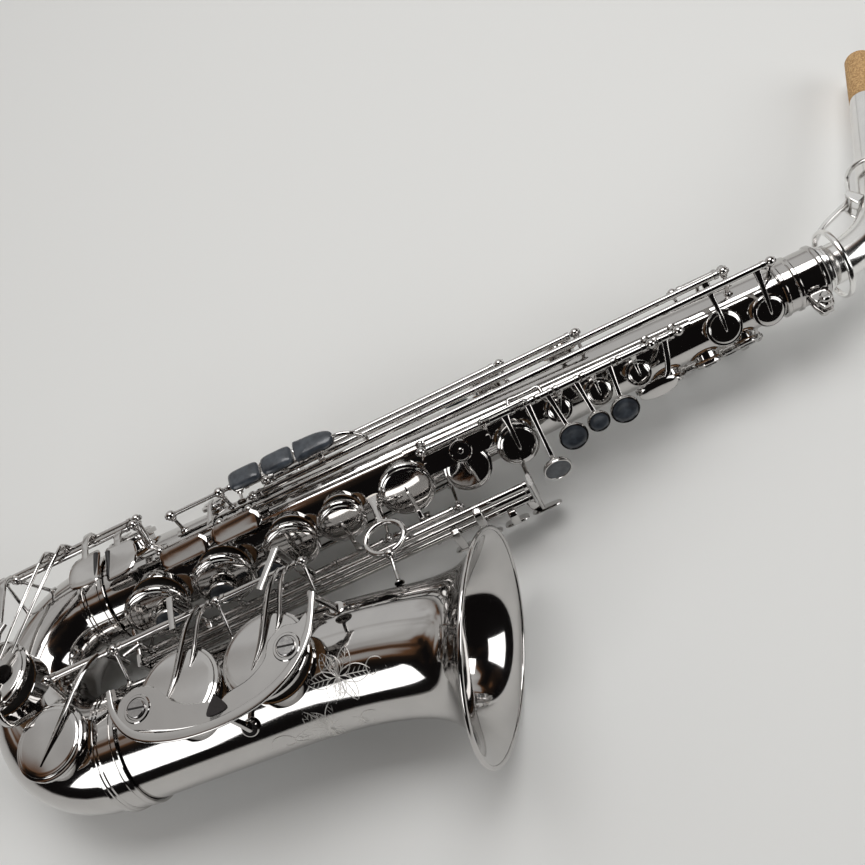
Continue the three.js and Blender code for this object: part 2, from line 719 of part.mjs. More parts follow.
function makeLowKeys() {
  const bell = lines.bellCups;
  const up = alongZ;
  const spear = (line, x, base, width) => strip(point(x, ...line), base.clone().setZ(lowSeat + cupHeight + gap - 0.2),
    width, 2.4, up);
  const keys = [
    ['low_b_key', lowHoles.b, [-440, -381.6], 8, true],
    ['low_bb_key', lowHoles.bb, [-375.2, -328.8], 8, true],
    ['low_csharp_key', lowHoles.csharp, [-482.2, -446.4], 9, false],
  ];
  for (const [name, hole, span, travel, standsOpen] of keys) {
    const base = hole.centre.clone().setZ(lowSeat + gap);
    const arm = spear(bell, base.x + (standsOpen ? 3 : 6), base, 5);
    const pieces = [cup(base, up, hole.cup), tube(bell, ...span), arm];
    if (standsOpen) pieces.push(spear(bell, base.x - 9, base.clone().setX(base.x - 3), 3));
    else pieces.push(...lever([point(-449, ...bell), point(-449, bell[0], 13)], 4, 2, alongY));
    addKey(name, bell, pieces, sense(bell, base, up), travel, standsOpen);
  }
  const lowC = lowHoles.c.centre.clone().setZ(lowSeat + gap);
  const overTop = lowSeat + cupHeight + gap;
  const cPieces = [
    cup(lowC, up, lowHoles.c.cup),
    tube(lines.lowC, -506.3, -421),
    strip(point(-504, ...lines.lowC), point(-504, 14, overTop + 2), 5, 2.2, up),
    strip(point(-504, 15, overTop + 2), point(-509, -34, overTop - 0.4), 5, 2.2, up),
    touch(point(-444.5, -6, 45.6), point(0, 0.1, 1), 15, 21, 2.2),
    strip(point(-446, ...lines.lowC), point(-446, 25, 46.4), 5, 2.4, alongY),
    strip(point(-446, 26, 46.4), point(-446, -4, 46.4), 5, 2.2, up),
  ];
  addKey('low_c_key', lines.lowC, cPieces, sense(lines.lowC, lowC, up), 6.5, true);
  const eb = bodyKey(bodyHoles.lowEb, lines.lowEb, [[-493.8, -421]]);
  eb.pieces.push(
    touch(point(-427.5, -4, 44), point(0, 0.1, 1), 15, 21, 2.2),
    strip(point(-427, ...lines.lowEb), point(-427, -2, 45), 5, 2.2, up),
  );
  addKey('low_eb_key', lines.lowEb, eb.pieces, eb.lifts, 7, false);
}

/** Finger pieces of the left little finger, each on the rod that works its key. */
function makeTable() {
  const face = point(0, -0.8, -0.6);
  const inward = point(0, 0.8, 0.6);
  const reach = -53.2;
  const behind = -42.2;
  const overCup = (x, cupX) => [point(x, behind, 45), point(cupX, -62, 46.6)];
  const keys = [
    ['csharp_touch', lines.csharpTouch, [-214, -47.5, -30], [16, 17], -440,
      [point(-440, behind, 13), point(-449, -46.2, 15.5)], alongY],
    ['low_b_touch', lines.bTouch, [-231, -48.5, -30], [15, 17], -400, overCup(-400, -400), alongZ],
    ['low_bb_touch', lines.bbTouch, [-247.5, -49, -30], [14, 17], -335, overCup(-335, -348), alongZ],
  ];
  for (const [name, line, [x, y, z], [length, width], leverPlace, leverEnd, endFace] of keys) {
    const centre = point(x, y, z);
    const pieces = [
      tube(line, -443.8, -199.4),
      touch(centre, face, length, width, 2.2),
      ...lever([point(x, ...line), point(x, reach, line[1]), point(x, reach - 0.2, z + 7)], 2.2, 5, alongX),
      ...lever([point(leverPlace, ...line), point(leverPlace, behind, line[1]), leverEnd[0]], 2, 4, alongX),
      ...lever(leverEnd, 4, 2, endFace),
    ];
    addKey(name, line, pieces, sense(line, centre, inward), 6, false);
  }
  const line = lines.gsharpTouch;
  const centre = point(-195, -44.5, -36);
  const pieces = [
    tube(line, -262, -199.4),
    touch(centre, face, 19, 14, 2.2),
    strip(point(-203, ...line), point(-199, -45, -34), 5, 2, point(0, -1, 0)),
    ...lever([point(-259, ...line), point(-259, -33, -8.8)], 2, 4, alongX),
  ];
  addKey('gsharp_touch', line, pieces, sense(line, centre, inward), 6.5, false);
}

makeLowerStack();
makeUpperStack();
makeGsharp();
makeSideKeys();
makePalmKeys();
makeLowKeys();
makeTable();

// ---- Octave mechanism, neck and socket ----

const pinPlace = { distance: 16.4, angle: 192 };

function makeOctave() {
  const line = lines.octave;
  const touchCentre = around(-158, -132, 35);
  const overClamp = (x) => around(x, pinPlace.angle, 19.4);
  const lever = [
    tube(line, -172, -36),
    touch(touchCentre, outward(-132), 24, 15, 2.6),
    strip(point(-158, ...line), touchCentre, 6, 2.2, outward(-150)),
    strip(point(-38.5, ...line), overClamp(-38.5), 4, 2.4, outward(-160)),
    bar(overClamp(-39.5), overClamp(4.5), 1.2),
    bar(overClamp(3.6), around(3.6, pinPlace.angle, pinPlace.distance - 0.6), 1.1),
    bar(around(2.7, pinPlace.angle, pinPlace.distance), around(12, pinPlace.angle, pinPlace.distance), 1.1),
  ];
  const pin = around(8, pinPlace.angle, pinPlace.distance);
  addKey('octave_lever', line, lever, sense(line, pin, alongY), 8, false);
  rib('octave_rib', -150, -179, -29, line, [-175.3, -32.6]);
  const vent = bodyKey(bodyHoles.octave, lines.bodyOctave, [[-74, -50]]);
  addKey('body_octave_key', lines.bodyOctave, vent.pieces, vent.lifts, 14, false);
}

function neckStation(distance, radius) {
  const bend = Math.min(Math.max(distance - neckStraight, 0) / neckBendRadius, neckBendAngle * degree);
  const tail = Math.max(0, distance - neckStraight - neckBendRadius * neckBendAngle * degree);
  const head = Math.min(distance, neckStraight);
  const centre = point(
    tenonTop + head + neckBendRadius * Math.sin(bend) + tail * Math.cos(bend),
    neckBendRadius * (1 - Math.cos(bend)) + tail * Math.sin(bend),
    0,
  );
  return { centre, tangent: point(Math.cos(bend), Math.sin(bend), 0), radius };
}

function makeNeck() {
  const swivel = { point: [0, 0, 0], axis: [1, 0, 0], range: [-30, 30] };
  const length = neckStraight + neckBendRadius * neckBendAngle * degree + neckTail;
  const radiusAt = (distance) => neckStartRadius + (neckTipRadius - neckStartRadius) * (distance / length);
  const bend = neckBendRadius * neckBendAngle * degree;
  const places = [0, neckStraight, ...[1, 2, 3, 4, 5, 6].map((k) => neckStraight + (bend * k) / 6), length];
  const outer = places.map((distance) => neckStation(distance, radiusAt(distance)));
  const inner = places.map((distance) => neckStation(distance, radiusAt(distance) - neckWall));
  const [skin, bore] = hollowHorn(outer, inner, 12);
  const tip = neckStation(length, 0);
  const cheek = (z) => strip(point(43, 26, z), point(38.2, 36, z), 6, 1.8, alongZ);
  const shell = skin.add(joined(cheek(-6.6), cheek(6.6))).subtract(bore);
  addMesh('neck_tube', shell, paint.silver, swivel);

  const corkStart = neckStation(length - corkLength, 0);
  const inside = radiusAt(length - corkLength) + gap;
  const corkProfile = [
    [inside, 0], [corkRadius, 0], [corkRadius, corkLength - 2], [corkRadius - 0.7, corkLength - gap],
    [neckTipRadius + gap, corkLength - gap], [inside, 0],
  ];
  addMesh('neck_cork', solid(turned(corkProfile, corkStart.centre, tip.tangent, 14)), paint.corkTan, swivel);

  const flange = tenonTop - gap;
  const tenonProfile = [
    [tenonRadius - wall, -tenonLength], [tenonRadius, -tenonLength], [tenonRadius, gap], [14.4, gap],
    [14.4, 2.4], [13.2, 3.2], [13.2, flange], [tenonRadius - wall, flange], [tenonRadius - wall, -tenonLength],
  ];
  addMesh('neck_tenon', solid(turned(tenonProfile, point(0, 0, 0), alongX, 16)), paint.silver, swivel);
}

/** Neck octave key: a ring round the foot of the neck, a spine on a pivot and a loop with the pad. */
function makeNeckOctave() {
  const bend = neckBendRadius * neckBendAngle * degree;
  const pivot = point(39, 34.5, 0);
  const ringPlace = 9.5;
  const ringRadius = 19.6;
  const ring = [];
  for (let k = 0; k < 16; k += 1) ring.push(around(ringPlace, (k / 16) * 360, ringRadius));
  const hole = neckStation(neckStraight + bend + 20, 0);
  const side = new THREE.Vector3().crossVectors(hole.tangent, alongZ).normalize();
  const loop = [];
  for (let k = 0; k <= 6; k += 1) {
    const angle = (k / 6) * Math.PI;
    const place = hole.centre.clone().addScaledVector(side, -14.5 * Math.cos(angle));
    loop.push(place.setZ(14.5 * Math.sin(angle)));
  }
  const padBase = hole.centre.clone().addScaledVector(side, 11.4);
  const pieces = [
    wire(ring, 1.4, 18, true, 5),
    wire([around(ringPlace, 180, ringRadius), point(20, 27, 0), pivot.clone()], 1.7, 4, false, 5),
    bar(pivot.clone().setZ(-5), pivot.clone().setZ(5), 2, 8),
    strip(pivot, loop[0], 3.4, 2.6, side),
    wire(loop, 1.5, 8, false, 5),
    turned([[0, 0], [4.4, 0], [4.6, 1], [3.2, 3], [0, 4]], padBase, side, 10),
  ];
  addMesh('neck_octave_key', joined(...pieces), paint.silver,
    { point: pivot.toArray(), axis: [0, 0, -1], range: [0, 4.5] });
}

/** Split clamp at the mouth of the socket, with its double bands and two ears at the front. */
function makeReceiver() {
  const inside = (bodyRadius(-26) + gap) / Math.cos(Math.PI / 16);
  const profile = [
    [inside, -26], [inside + 1.6, -26], [inside + 1.6, -23.5], [inside + 0.9, -23.5], [inside + 0.9, -18],
    [inside + 1.6, -18], [inside + 1.6, -15.5], [inside + 0.9, -15.5], [inside + 0.9, -0.4], [inside, -0.4],
    [inside, -26],
  ];
  const ear = (z) => strip(point(-8, -14.6, z), point(-8, -26, z), 10, 2.6, alongZ);
  const collar = joined(turned(profile, point(0, 0, 0), alongX, 16), ear(-3), ear(3));
  const slot = strip(point(-8, -10, 0), point(-8, -20, 0), 17, 1.6, alongZ);
  const hole = bar(point(-8, -21.5, -6), point(-8, -21.5, 6), 2.1, 10);
  addMesh('neck_clamp', collar.subtract(solid(slot)).subtract(solid(hole)), paint.blackNickel);
  const screw = [
    bar(point(-8, -21.5, -7.6), point(-8, -21.5, 9), 1.6, 8),
    turned([[0, 0], [3, 0.2], [3.2, 1.4], [2, 3], [0, 3.2]], point(-8, -21.5, 5), alongZ, 8),
    strip(point(-8, -21.5, 8), point(-8, -21.5, 16), 9, 2, alongX),
    turned([[0, 0], [2.6, 0], [2.6, 2], [0, 2]], point(-8, -21.5, -7), point(0, 0, -1), 8),
  ];
  addMesh('clamp_screw', joined(...screw), paint.blackNickel,
    { point: [-8, -21.5, 0], axis: [0, 0, 1], range: [-90, 90] });
}

// ---- Guards, brace and back pieces ----

function makeGuards() {
  const height = 54;
  const thickness = 1.8;
  const outline = [
    [-436, -84], [-433, -104], [-417, -118], [-392, -124], [-368, -124], [-345, -120], [-325, -104],
    [-317, -80], [-321, -79], [-331, -99], [-345, -104], [-360, -110], [-380, -112], [-400, -111],
    [-414, -106], [-427, -98], [-431, -83],
  ];
  const bumper = (x, y) => turned([[0, 0], [7, 0], [7, thickness + 1.4], [4.6, thickness + 1.4], [4.6, thickness],
    [0, thickness]], point(x, y, height), alongZ, 12);
  const foot = (x, y, z, top) => bar(point(x, y, z), point(top[0], top[1], height + 0.6), 2, 6);
  const pieces = [
    plate(outline, height, thickness),
    bumper(-421, -100), bumper(-337, -103),
    turned([[0, 0], [9, 0], [9, thickness], [0, thickness]], point(-379, -109, height), alongZ, 3),
    foot(-436, -80.5, 31.2, [-433.5, -87]),
    foot(-378, -120.8, 24.9, [-380, -118]),
    foot(-314, -84, 33.4, [-319.5, -82]),
  ];
  addMesh('bell_key_guard', joined(...pieces), paint.blackNickel);

  const arch = [onBow(78, 28, 2.6), point(-540, -34, 40), point(-530, -38, 54), point(-512, -46, 57),
    point(-505, -64, 54), point(-505, -70.5, 42), onBow(118, 106, 2.6)];
  const side = [point(-512, -46, 57), point(-505, -30, 57), point(-495, -18, 56)];
  const guard = [
    wire(arch, 1.9, 14, false, 5),
    wire(side, 1.7, 4, false, 5),
    turned([[0, 0], [6.5, 0], [6.5, 3], [4.4, 3], [4.4, 2], [0, 2]], point(-508, -38, 54.5), alongZ, 12),
  ];
  addMesh('low_c_guard', joined(...guard), paint.blackNickel);
}

/** Round brace between the body and the bell, between two key cups. */
function makeBrace() {
  const x = -283;
  const z = 13;
  const bodyFace = -Math.sqrt(bodyRadius(x) ** 2 - z ** 2) - gap;
  const ringCentre = point(x, -46, z);
  const ring = [];
  for (let k = 0; k < 14; k += 1) {
    const angle = (k / 14) * 2 * Math.PI;
    ring.push(ringCentre.clone().add(point(11.5 * Math.cos(angle), 9.5 * Math.sin(angle), 0)));
  }
  return [
    wire(ring, 1.8, 14, true, 5),
    strip(point(x, bodyFace - 0.6, z), point(x, ringCentre.y + 9.5, z), 6, 3, alongZ),
    post(point(x, -75.6, z), point(x, ringCentre.y - 10.5, z)),
  ];
}

function makeBackPieces() {
  const hookAngle = 166;
  const hookRadius = bodyRadius(-330) + gap;
  const hookBase = strip(around(-345, hookAngle, bodyRadius(-345) + gap + 1),
    around(-316, hookAngle, bodyRadius(-316) + gap + 1), 12, 1.8, outward(hookAngle));
  const hook = wire([around(-322, hookAngle, hookRadius + 1), around(-320, hookAngle, hookRadius + 12),
    around(-327, hookAngle, hookRadius + 18), around(-340, hookAngle, hookRadius + 18),
    around(-347, hookAngle, hookRadius + 14)], 3, 8, false, 6);
  addMesh('thumb_hook', joined(hookBase, hook), paint.blackNickel);
  const restBase = around(-218, 178, bodyRadius(-218) + gap);
  const restShape = turned([[0, 0], [8, 0], [8.4, 1.2], [7.6, 4], [0, 5]], restBase, outward(178), 12);
  addMesh('thumb_rest', solid(restShape), paint.blackNickel);
  const strapBase = strip(around(-262, 180, bodyRadius(-262) + gap + 1),
    around(-234, 180, bodyRadius(-234) + gap + 1), 9, 1.8, outward(180));
  const strapCentre = around(-248, 180, bodyRadius(-248) + 10.2);
  const strapRing = turned([[4.6, -1.6], [8.6, -1.6], [8.6, 1.6], [4.6, 1.6], [4.6, -1.6]], strapCentre,
    alongZ, 16);
  addMesh('strap_ring', joined(strapBase, strapRing), paint.blackNickel);
}

/** Plain bar with a plain round medallion over the G tone hole, on two feet. */
function makeMedallionBar() {
  const angle = 48;
  const outside = 35.5;
  const spot = (x) => around(x, angle, outside);
  const foot = (x) => bar(around(x, 58, bodyRadius(x) + gap), spot(x), 1.5);
  const pieces = [
    strip(spot(-246), spot(-206), 9, 1.8, outward(angle)),
    turned([[0, 0], [6.4, 0], [6.4, 1.4], [5.4, 2], [0, 2]], around(-224, angle, outside), outward(angle), 16),
  ];
  return [...pieces, foot(-245), foot(-207)];
}

makeOctave();
makeNeck();
makeNeckOctave();
makeReceiver();
makeGuards();
addMesh('bell_brace', joined(...makeBrace()), paint.blackNickel);
makeBackPieces();
addMesh('medallion_bar', joined(...makeMedallionBar()), paint.blackNickel);

// ---- Laying the instrument down ----

instrument.rotation.set(restRoll * degree, restPitch * degree, 0, 'YXZ');
laidDown.updateMatrixWorld(true);
const box = new THREE.Box3().setFromObject(laidDown, true);
instrument.position.set(-(box.min.x + box.max.x) / 2, -(box.min.y + box.max.y) / 2, -box.min.z);
laidDown.updateMatrixWorld(true);

export default laidDown;
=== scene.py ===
"""Visual model of the alto saxophone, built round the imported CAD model.

Shapes are drawn in millimetres in the instrument's own frame: +X up the body towards the neck, with zero at
the mouth of the neck socket, -Y to the bell and +Z to the player's right. The matrix place lays them down in
the row frame.
"""
import json
from math import copysign, cos, exp, hypot, pi, radians, sin, sqrt

import bmesh
import bpy
from mathutils import Matrix, Vector


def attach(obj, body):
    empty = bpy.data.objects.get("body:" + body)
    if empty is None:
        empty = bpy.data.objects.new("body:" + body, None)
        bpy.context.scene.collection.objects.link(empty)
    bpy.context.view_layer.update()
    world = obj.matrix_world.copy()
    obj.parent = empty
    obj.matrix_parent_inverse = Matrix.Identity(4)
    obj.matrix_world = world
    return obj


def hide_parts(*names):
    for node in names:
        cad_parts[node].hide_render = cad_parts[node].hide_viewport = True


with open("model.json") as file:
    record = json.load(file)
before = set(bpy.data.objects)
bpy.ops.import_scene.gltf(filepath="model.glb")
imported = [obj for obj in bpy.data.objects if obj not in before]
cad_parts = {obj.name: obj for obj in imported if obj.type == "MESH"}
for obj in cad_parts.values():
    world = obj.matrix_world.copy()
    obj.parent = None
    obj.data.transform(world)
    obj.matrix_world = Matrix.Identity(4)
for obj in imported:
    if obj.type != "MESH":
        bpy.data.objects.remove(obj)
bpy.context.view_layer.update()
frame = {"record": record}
record = frame["record"]
joints = {j["child"]: j for j in record["behaviour"]["joints"]}

# ---- The instrument's frame inside the row frame ----

swivel = joints["neck"]
screw_joint = joints["clamp_screw"]
along = Vector(swivel["axis"]).normalized()
right_side = Vector(screw_joint["axis"]).normalized()
place = Matrix((along, right_side.cross(along), right_side)).transposed().to_4x4()
place.translation = Vector(swivel["pos_m"])
place = place @ Matrix.Scale(0.001, 4)

# ---- Dimensions, in millimetres ----

BODY_LENGTH, BODY_TOP, BODY_END = 465, 13.6, 27.5
BOW_BEND, BOW_END, BELL_LENGTH, BELL_THROAT = 46, 31.5, 223, 35
RIM, FLARE, BELL_LEAN, BELL_BEND, BELL_BEND_START, BOW_TAIL = 61.5, 12, 3, 21, 112, 10
GAP, CHIMNEY, CUP_HEIGHT, SMALL_CUP_HEIGHT, LOW_SEAT = 0.4, 2.5, 5.2, 4, 36
NECK_STRAIGHT, NECK_BEND, NECK_TURN, NECK_TAIL = 4, 48, 64, 118
NECK_FOOT, NECK_TIP, CORK_LENGTH, CORK_RADIUS, TENON_TOP = 12, 7.1, 37, 8.4, 5
X, Y, Z = Vector((1, 0, 0)), Vector((0, 1, 0)), Vector((0, 0, 1))


def vec(x, y, z):
    return Vector((x, y, z))


def outward(angle):
    return vec(0, -cos(radians(angle)), sin(radians(angle)))


def around(x, angle, distance):
    return outward(angle) * distance + vec(x, 0, 0)


def body_radius(x):
    return BODY_TOP + (BODY_END - BODY_TOP) * (-x / BODY_LENGTH)


def on_body(x, angle, lift):
    """Point at a height above the skin of the body tube, or under it where the height is negative."""
    return around(x, angle, body_radius(x) + lift)


# ---- Materials ----

RELIEF_DEPTH = 0.0004  # metres


def material(name, colour, metallic, roughness, vary, grain, bump=0.0, second=None, coat=0.0):
    """Principled material whose colour, roughness and relief vary over the surface with a noise."""
    made = bpy.data.materials.new(name)
    made.use_nodes = True
    nodes, links = made.node_tree.nodes, made.node_tree.links
    shader = nodes["Principled BSDF"]
    shader.inputs["Metallic"].default_value = metallic
    shader.inputs["Coat Weight"].default_value = coat
    spot = nodes.new("ShaderNodeTexCoord")
    noise = nodes.new("ShaderNodeTexNoise")
    noise.inputs["Scale"].default_value = grain
    noise.inputs["Detail"].default_value = 5
    links.new(spot.outputs["Object"], noise.inputs["Vector"])
    ramp = nodes.new("ShaderNodeValToRGB")
    ramp.color_ramp.elements[0].position = 0.35
    ramp.color_ramp.elements[1].position = 0.68
    ramp.color_ramp.elements[0].color = (*(second or colour), 1)
    ramp.color_ramp.elements[1].color = (*colour, 1)
    links.new(noise.outputs["Fac"], ramp.inputs["Fac"])
    links.new(ramp.outputs["Color"], shader.inputs["Base Color"])
    spread = nodes.new("ShaderNodeMapRange")
    spread.inputs["To Min"].default_value = roughness - vary
    spread.inputs["To Max"].default_value = roughness + vary
    links.new(noise.outputs["Fac"], spread.inputs["Value"])
    links.new(spread.outputs["Result"], shader.inputs["Roughness"])
    if bump:
        relief = nodes.new("ShaderNodeBump")
        relief.inputs["Strength"].default_value = bump
        relief.inputs["Distance"].default_value = RELIEF_DEPTH
        links.new(noise.outputs["Fac"], relief.inputs["Height"])
        links.new(relief.outputs["Normal"], shader.inputs["Normal"])
    return made


NICKEL = material("black_nickel", (0.55, 0.535, 0.52), 1.0, 0.07, 0.025, 55, 0, (0.51, 0.495, 0.485))
SILVER = material("silver", (0.86, 0.85, 0.83), 1.0, 0.16, 0.05, 90, 0, (0.78, 0.77, 0.76))
STEEL = material("screw_steel", (0.42, 0.41, 0.40), 1.0, 0.22, 0.06, 600, 0, (0.34, 0.33, 0.33))
CORK = material("cork", (0.66, 0.43, 0.20), 0.0, 0.85, 0.1, 900, 0.9, (0.36, 0.20, 0.08))
PAD = material("pad_leather", (0.55, 0.33, 0.17), 0.0, 0.6, 0.1, 500, 0.4, (0.42, 0.22, 0.10))
SLATE = material("slate_pearl", (0.06, 0.07, 0.084), 0.0, 0.24, 0.05, 160, 0, (0.024, 0.028, 0.035), 0.25)
FELT = material("felt", (0.035, 0.03, 0.03), 0.0, 0.95, 0.04, 2500, 1.0, (0.015, 0.013, 0.013))
ROLLER = material("roller", (0.02, 0.02, 0.022), 0.0, 0.3, 0.06, 700, 0, (0.012, 0.012, 0.013))
ENGRAVED = material("engraving", (0.72, 0.70, 0.67), 1.0, 0.40, 0.08, 1500, 0.3, (0.58, 0.56, 0.54))
# Near-black material drawn as painted shade, in the bores of the tone holes and the slots of the adjusting
# screws.
PAINTED_SHADE = material("bore_shadow", (0.012, 0.011, 0.01), 0.0, 0.8, 0.05, 100)


# ---- Building pieces ----

SHARP_EDGE = 32  # degrees between two faces, from which their edge isn't shaded smooth


def quads(rows, sides, closed=False):
    """Faces of a skin through rows of points, capped at both ends unless its last row joins its first."""
    faces = []
    for k in range(rows if closed else rows - 1):
        low, high = k * sides, (k + 1) % rows * sides
        faces += [(low + i, low + (i + 1) % sides, high + (i + 1) % sides, high + i) for i in range(sides)]
    if not closed:
        faces += [tuple(reversed(range(sides))), tuple(range((rows - 1) * sides, rows * sides))]
    return faces


def catmull(values, t, closed):
    """Smooth value between the given ones, which may be numbers or vectors."""
    count = len(values)
    k = int(t)
    f = t - k

    def at(i):
        return values[i % count] if closed else values[min(max(i, 0), count - 1)]

    a, b, c, d = at(k - 1), at(k), at(k + 1), at(k + 2)
    square, cube = a * 2 - b * 5 + c * 4 - d, b * 3 - a - c * 3 + d
    return (b * 2 + (c - a) * f + square * f * f + cube * f ** 3) * 0.5


def rounded(count, power):
    """Points round a shape 2 across, which is a circle at power 2 and nears a square as the power grows."""
    outline = []
    for i in range(count):
        c, s = cos(2 * pi * i / count), sin(2 * pi * i / count)
        outline.append((copysign(abs(c) ** (2 / power), c), copysign(abs(s) ** (2 / power), s)))
    return outline


def oval(length, width, power):
    """Outline of a rounded plate, from an oval to a soft rectangle."""
    return [(u * length / 2, v * width / 2) for u, v in rounded(40, power)]


def smooth_outline(corners):
    """Outline through the corners, rounded by a smooth curve."""
    spots = [vec(x, y, 0) for x, y in corners]
    steps = 5
    return [tuple(catmull(spots, k / steps, True)[:2]) for k in range(len(spots) * steps)]


def anticlockwise(outline):
    area = sum(a[0] * b[1] - b[0] * a[1] for a, b in zip(outline[-1:] + outline, outline))
    return outline if area > 0 else outline[::-1]


class Piece:
    """One mesh under construction, in the instrument's frame."""

    def __init__(self, name):
        self.name = name
        self.mesh = bmesh.new()
        self.looks = []

    def add(self, points, faces, look):
        if look not in self.looks:
            self.looks.append(look)
        verts = [self.mesh.verts.new(p) for p in points]
        for corners in faces:
            face = self.mesh.faces.new([verts[i] for i in corners])
            face.material_index = self.looks.index(look)
            face.smooth = True

    def turn(self, profile, base, direction, look=NICKEL, sides=40, ring=False):
        """Revolves (radius, height) pairs about a direction. A ring's profile is a loop off the axis."""
        direction = direction.normalized()
        side = direction.cross(X if abs(direction.x) < 0.9 else Y).normalized()
        other = direction.cross(side)
        points, rows = [], []
        for radius, height in profile:
            middle = base + direction * height
            count = sides if radius > 0 else 1
            rows.append([len(points) + i % count for i in range(sides)])
            for i in range(count):
                a = 2 * pi * i / sides
                points.append(middle + (side * cos(a) + other * sin(a)) * radius)
        faces = []
        for low, high in zip(rows, rows[1:] + rows[:1] if ring else rows[1:]):
            for i in range(sides):
                j = (i + 1) % sides
                corners = list(dict.fromkeys((low[i], low[j], high[j], high[i])))
                if len(corners) > 2:
                    faces.append(corners)
        self.add(points, faces, look)

    def bar(self, start, end, radius, look=NICKEL, sides=20, edge=0.3):
        length = (end - start).length
        profile = [(0, 0), (radius - edge, 0), (radius, edge), (radius, length - edge),
                   (radius - edge, length), (0, length)]
        self.turn(profile, start, end - start, look, sides)

    def sweep(self, path, widths, heights, face, look=NICKEL, sides=20, power=4.0, closed=False, steps=6):
        """Sweeps a rounded section along a smooth path. Widths lie across the face and heights along it, each
        either a list, with one for each point of the path, or one number."""
        widths, heights = (w if isinstance(w, list) else [w] * len(path) for w in (widths, heights))
        spots, sizes = [], []
        for k in range(len(path) if closed else len(path) - 1):
            for s in range(steps):
                t = k + s / steps
                spots.append(catmull(path, t, closed))
                sizes.append((catmull(widths, t, closed), catmull(heights, t, closed)))
        if not closed:
            spots.append(path[-1].copy())
            sizes.append((widths[-1], heights[-1]))
        rows = len(spots)
        points = []
        for k, (spot, (width, height)) in enumerate(zip(spots, sizes)):
            before = spots[(k - 1) % rows] if closed or k > 0 else spot
            after = spots[(k + 1) % rows] if closed or k < rows - 1 else spot
            tangent = (after - before).normalized()
            across = face.cross(tangent).normalized()
            up = tangent.cross(across)
            for u, w in rounded(sides, power):
                points.append(spot + across * (u * width / 2) + up * (w * height / 2))
        self.add(points, quads(rows, sides, closed), look)

    def wire(self, path, radius, look=NICKEL, closed=False, face=Z, steps=6):
        self.sweep(path, radius * 2, radius * 2, face, look, 16, 2.0, closed, steps)

    def plate(self, outline, centre, facing, thickness, look=NICKEL, edge=0.5, crown=0.0):
        """Plate with rounded edges, from (u, v) pairs with u along the body, seen from its facing side."""
        facing = facing.normalized()
        u_axis = (X - facing * facing.x).normalized()
        v_axis = facing.cross(u_axis)
        outline = anticlockwise(outline)
        count = len(outline)
        mid_u = sum(p[0] for p in outline) / count
        mid_v = sum(p[1] for p in outline) / count
        inset = 1 - edge / max(hypot(p[0] - mid_u, p[1] - mid_v) for p in outline)
        levels = [(inset, 0), (1, edge * 0.7), (1, thickness - edge * 0.7), (inset, thickness)]
        if crown:
            levels += [(0.82, thickness + crown * 0.45), (0.6, thickness + crown * 0.8),
                       (0.3, thickness + crown * 0.97)]
        points = []
        for scale, height in levels:
            for u, v in outline:
                points.append(centre + u_axis * (mid_u + (u - mid_u) * scale)
                              + v_axis * (mid_v + (v - mid_v) * scale) + facing * height)
        faces = quads(len(levels), count)
        if crown:
            top = len(points) - count
            faces[-1:] = [(top + i, top + (i + 1) % count, len(points)) for i in range(count)]
            points.append(centre + u_axis * mid_u + v_axis * mid_v + facing * (thickness + crown))
        self.add(points, faces, look)

    def finish(self, body="body", slot="black_nickel", opened=False):
        """Makes the object. A key that stands open is drawn closed and turned back to its rest here."""
        where = place
        if opened:
            joint = joints[body]
            pivot = Vector(joint["pos_m"])
            turn = Matrix.Rotation(-radians(joint["range_deg"][1]), 4, Vector(joint["axis"]))
            where = Matrix.Translation(pivot) @ turn @ Matrix.Translation(-pivot) @ place
        bmesh.ops.transform(self.mesh, matrix=where, verts=self.mesh.verts)
        bmesh.ops.recalc_face_normals(self.mesh, faces=self.mesh.faces)
        data = bpy.data.meshes.new(self.name)
        self.mesh.to_mesh(data)
        self.mesh.free()
        data.set_sharp_from_angle(angle=radians(SHARP_EDGE))
        for look in self.looks:
            data.materials.append(look)
        piece = bpy.data.objects.new(self.name, data)
        bpy.context.scene.collection.objects.link(piece)
        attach(piece, body)
        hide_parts(self.name)
        piece.name = self.name + "_look"


# ---- Hinge lines and holes ----

LINES = {
    "lower": (-38.5, -4), "upper": (-14.8, 27.9), "fsharp": (-2.5, 32.5), "high_e": (6, 31),
    "side_c": (14, 28), "side_bb": (20.5, 24), "palm": (-6, -27), "octave": (24, -14),
    "body_octave": (22, 11), "low_c": (24, 36),
    "low_eb": (17.5, 40.5), "bell": (-50, 34.5), "b_touch": (-47.5, 3), "bb_touch": (-47.5, -5),
    "csharp_touch": (-47.5, -13), "gsharp_touch": (-43.5, -21),
}
HOLES = {
    "d": (-421, 35, 19), "e": (-378, 35, 18.4), "f": (-334, 35, 16.5), "fsharp": (-302, 35, 14.4),
    "gsharp": (-262, 29, 16.5), "g": (-225, 24, 14), "a": (-194, 22, 12.4), "bis": (-165, 40, 7.6),
    "b": (-141, 38, 8), "c": (-117, 38, 7.4), "low_eb": (-432, 142, 15.6), "trill": (-374, 134, 8.4),
    "side_bb": (-196, 160, 11.6), "side_c": (-150, 150, 11), "high_e": (-64, 39, 10.4),
    "high_f": (-38, 32, 9.4), "palm_d": (-100, -30, 9.4), "palm_eb": (-76, -36, 9), "palm_f": (-53, -30, 8.6),
    "octave": (-62, 180, 4.6),
}


def seat(hole):
    return body_radius(hole[0]) + CHIMNEY


def bow_station(turn):
    a = radians(turn)
    return vec(-BODY_LENGTH - BOW_BEND * sin(a), BOW_BEND * (cos(a) - 1), 0), vec(-cos(a), -sin(a), 0)


def bow_radius(turn):
    return BODY_END + (BOW_END - BODY_END) * turn / (180 - BELL_LEAN)


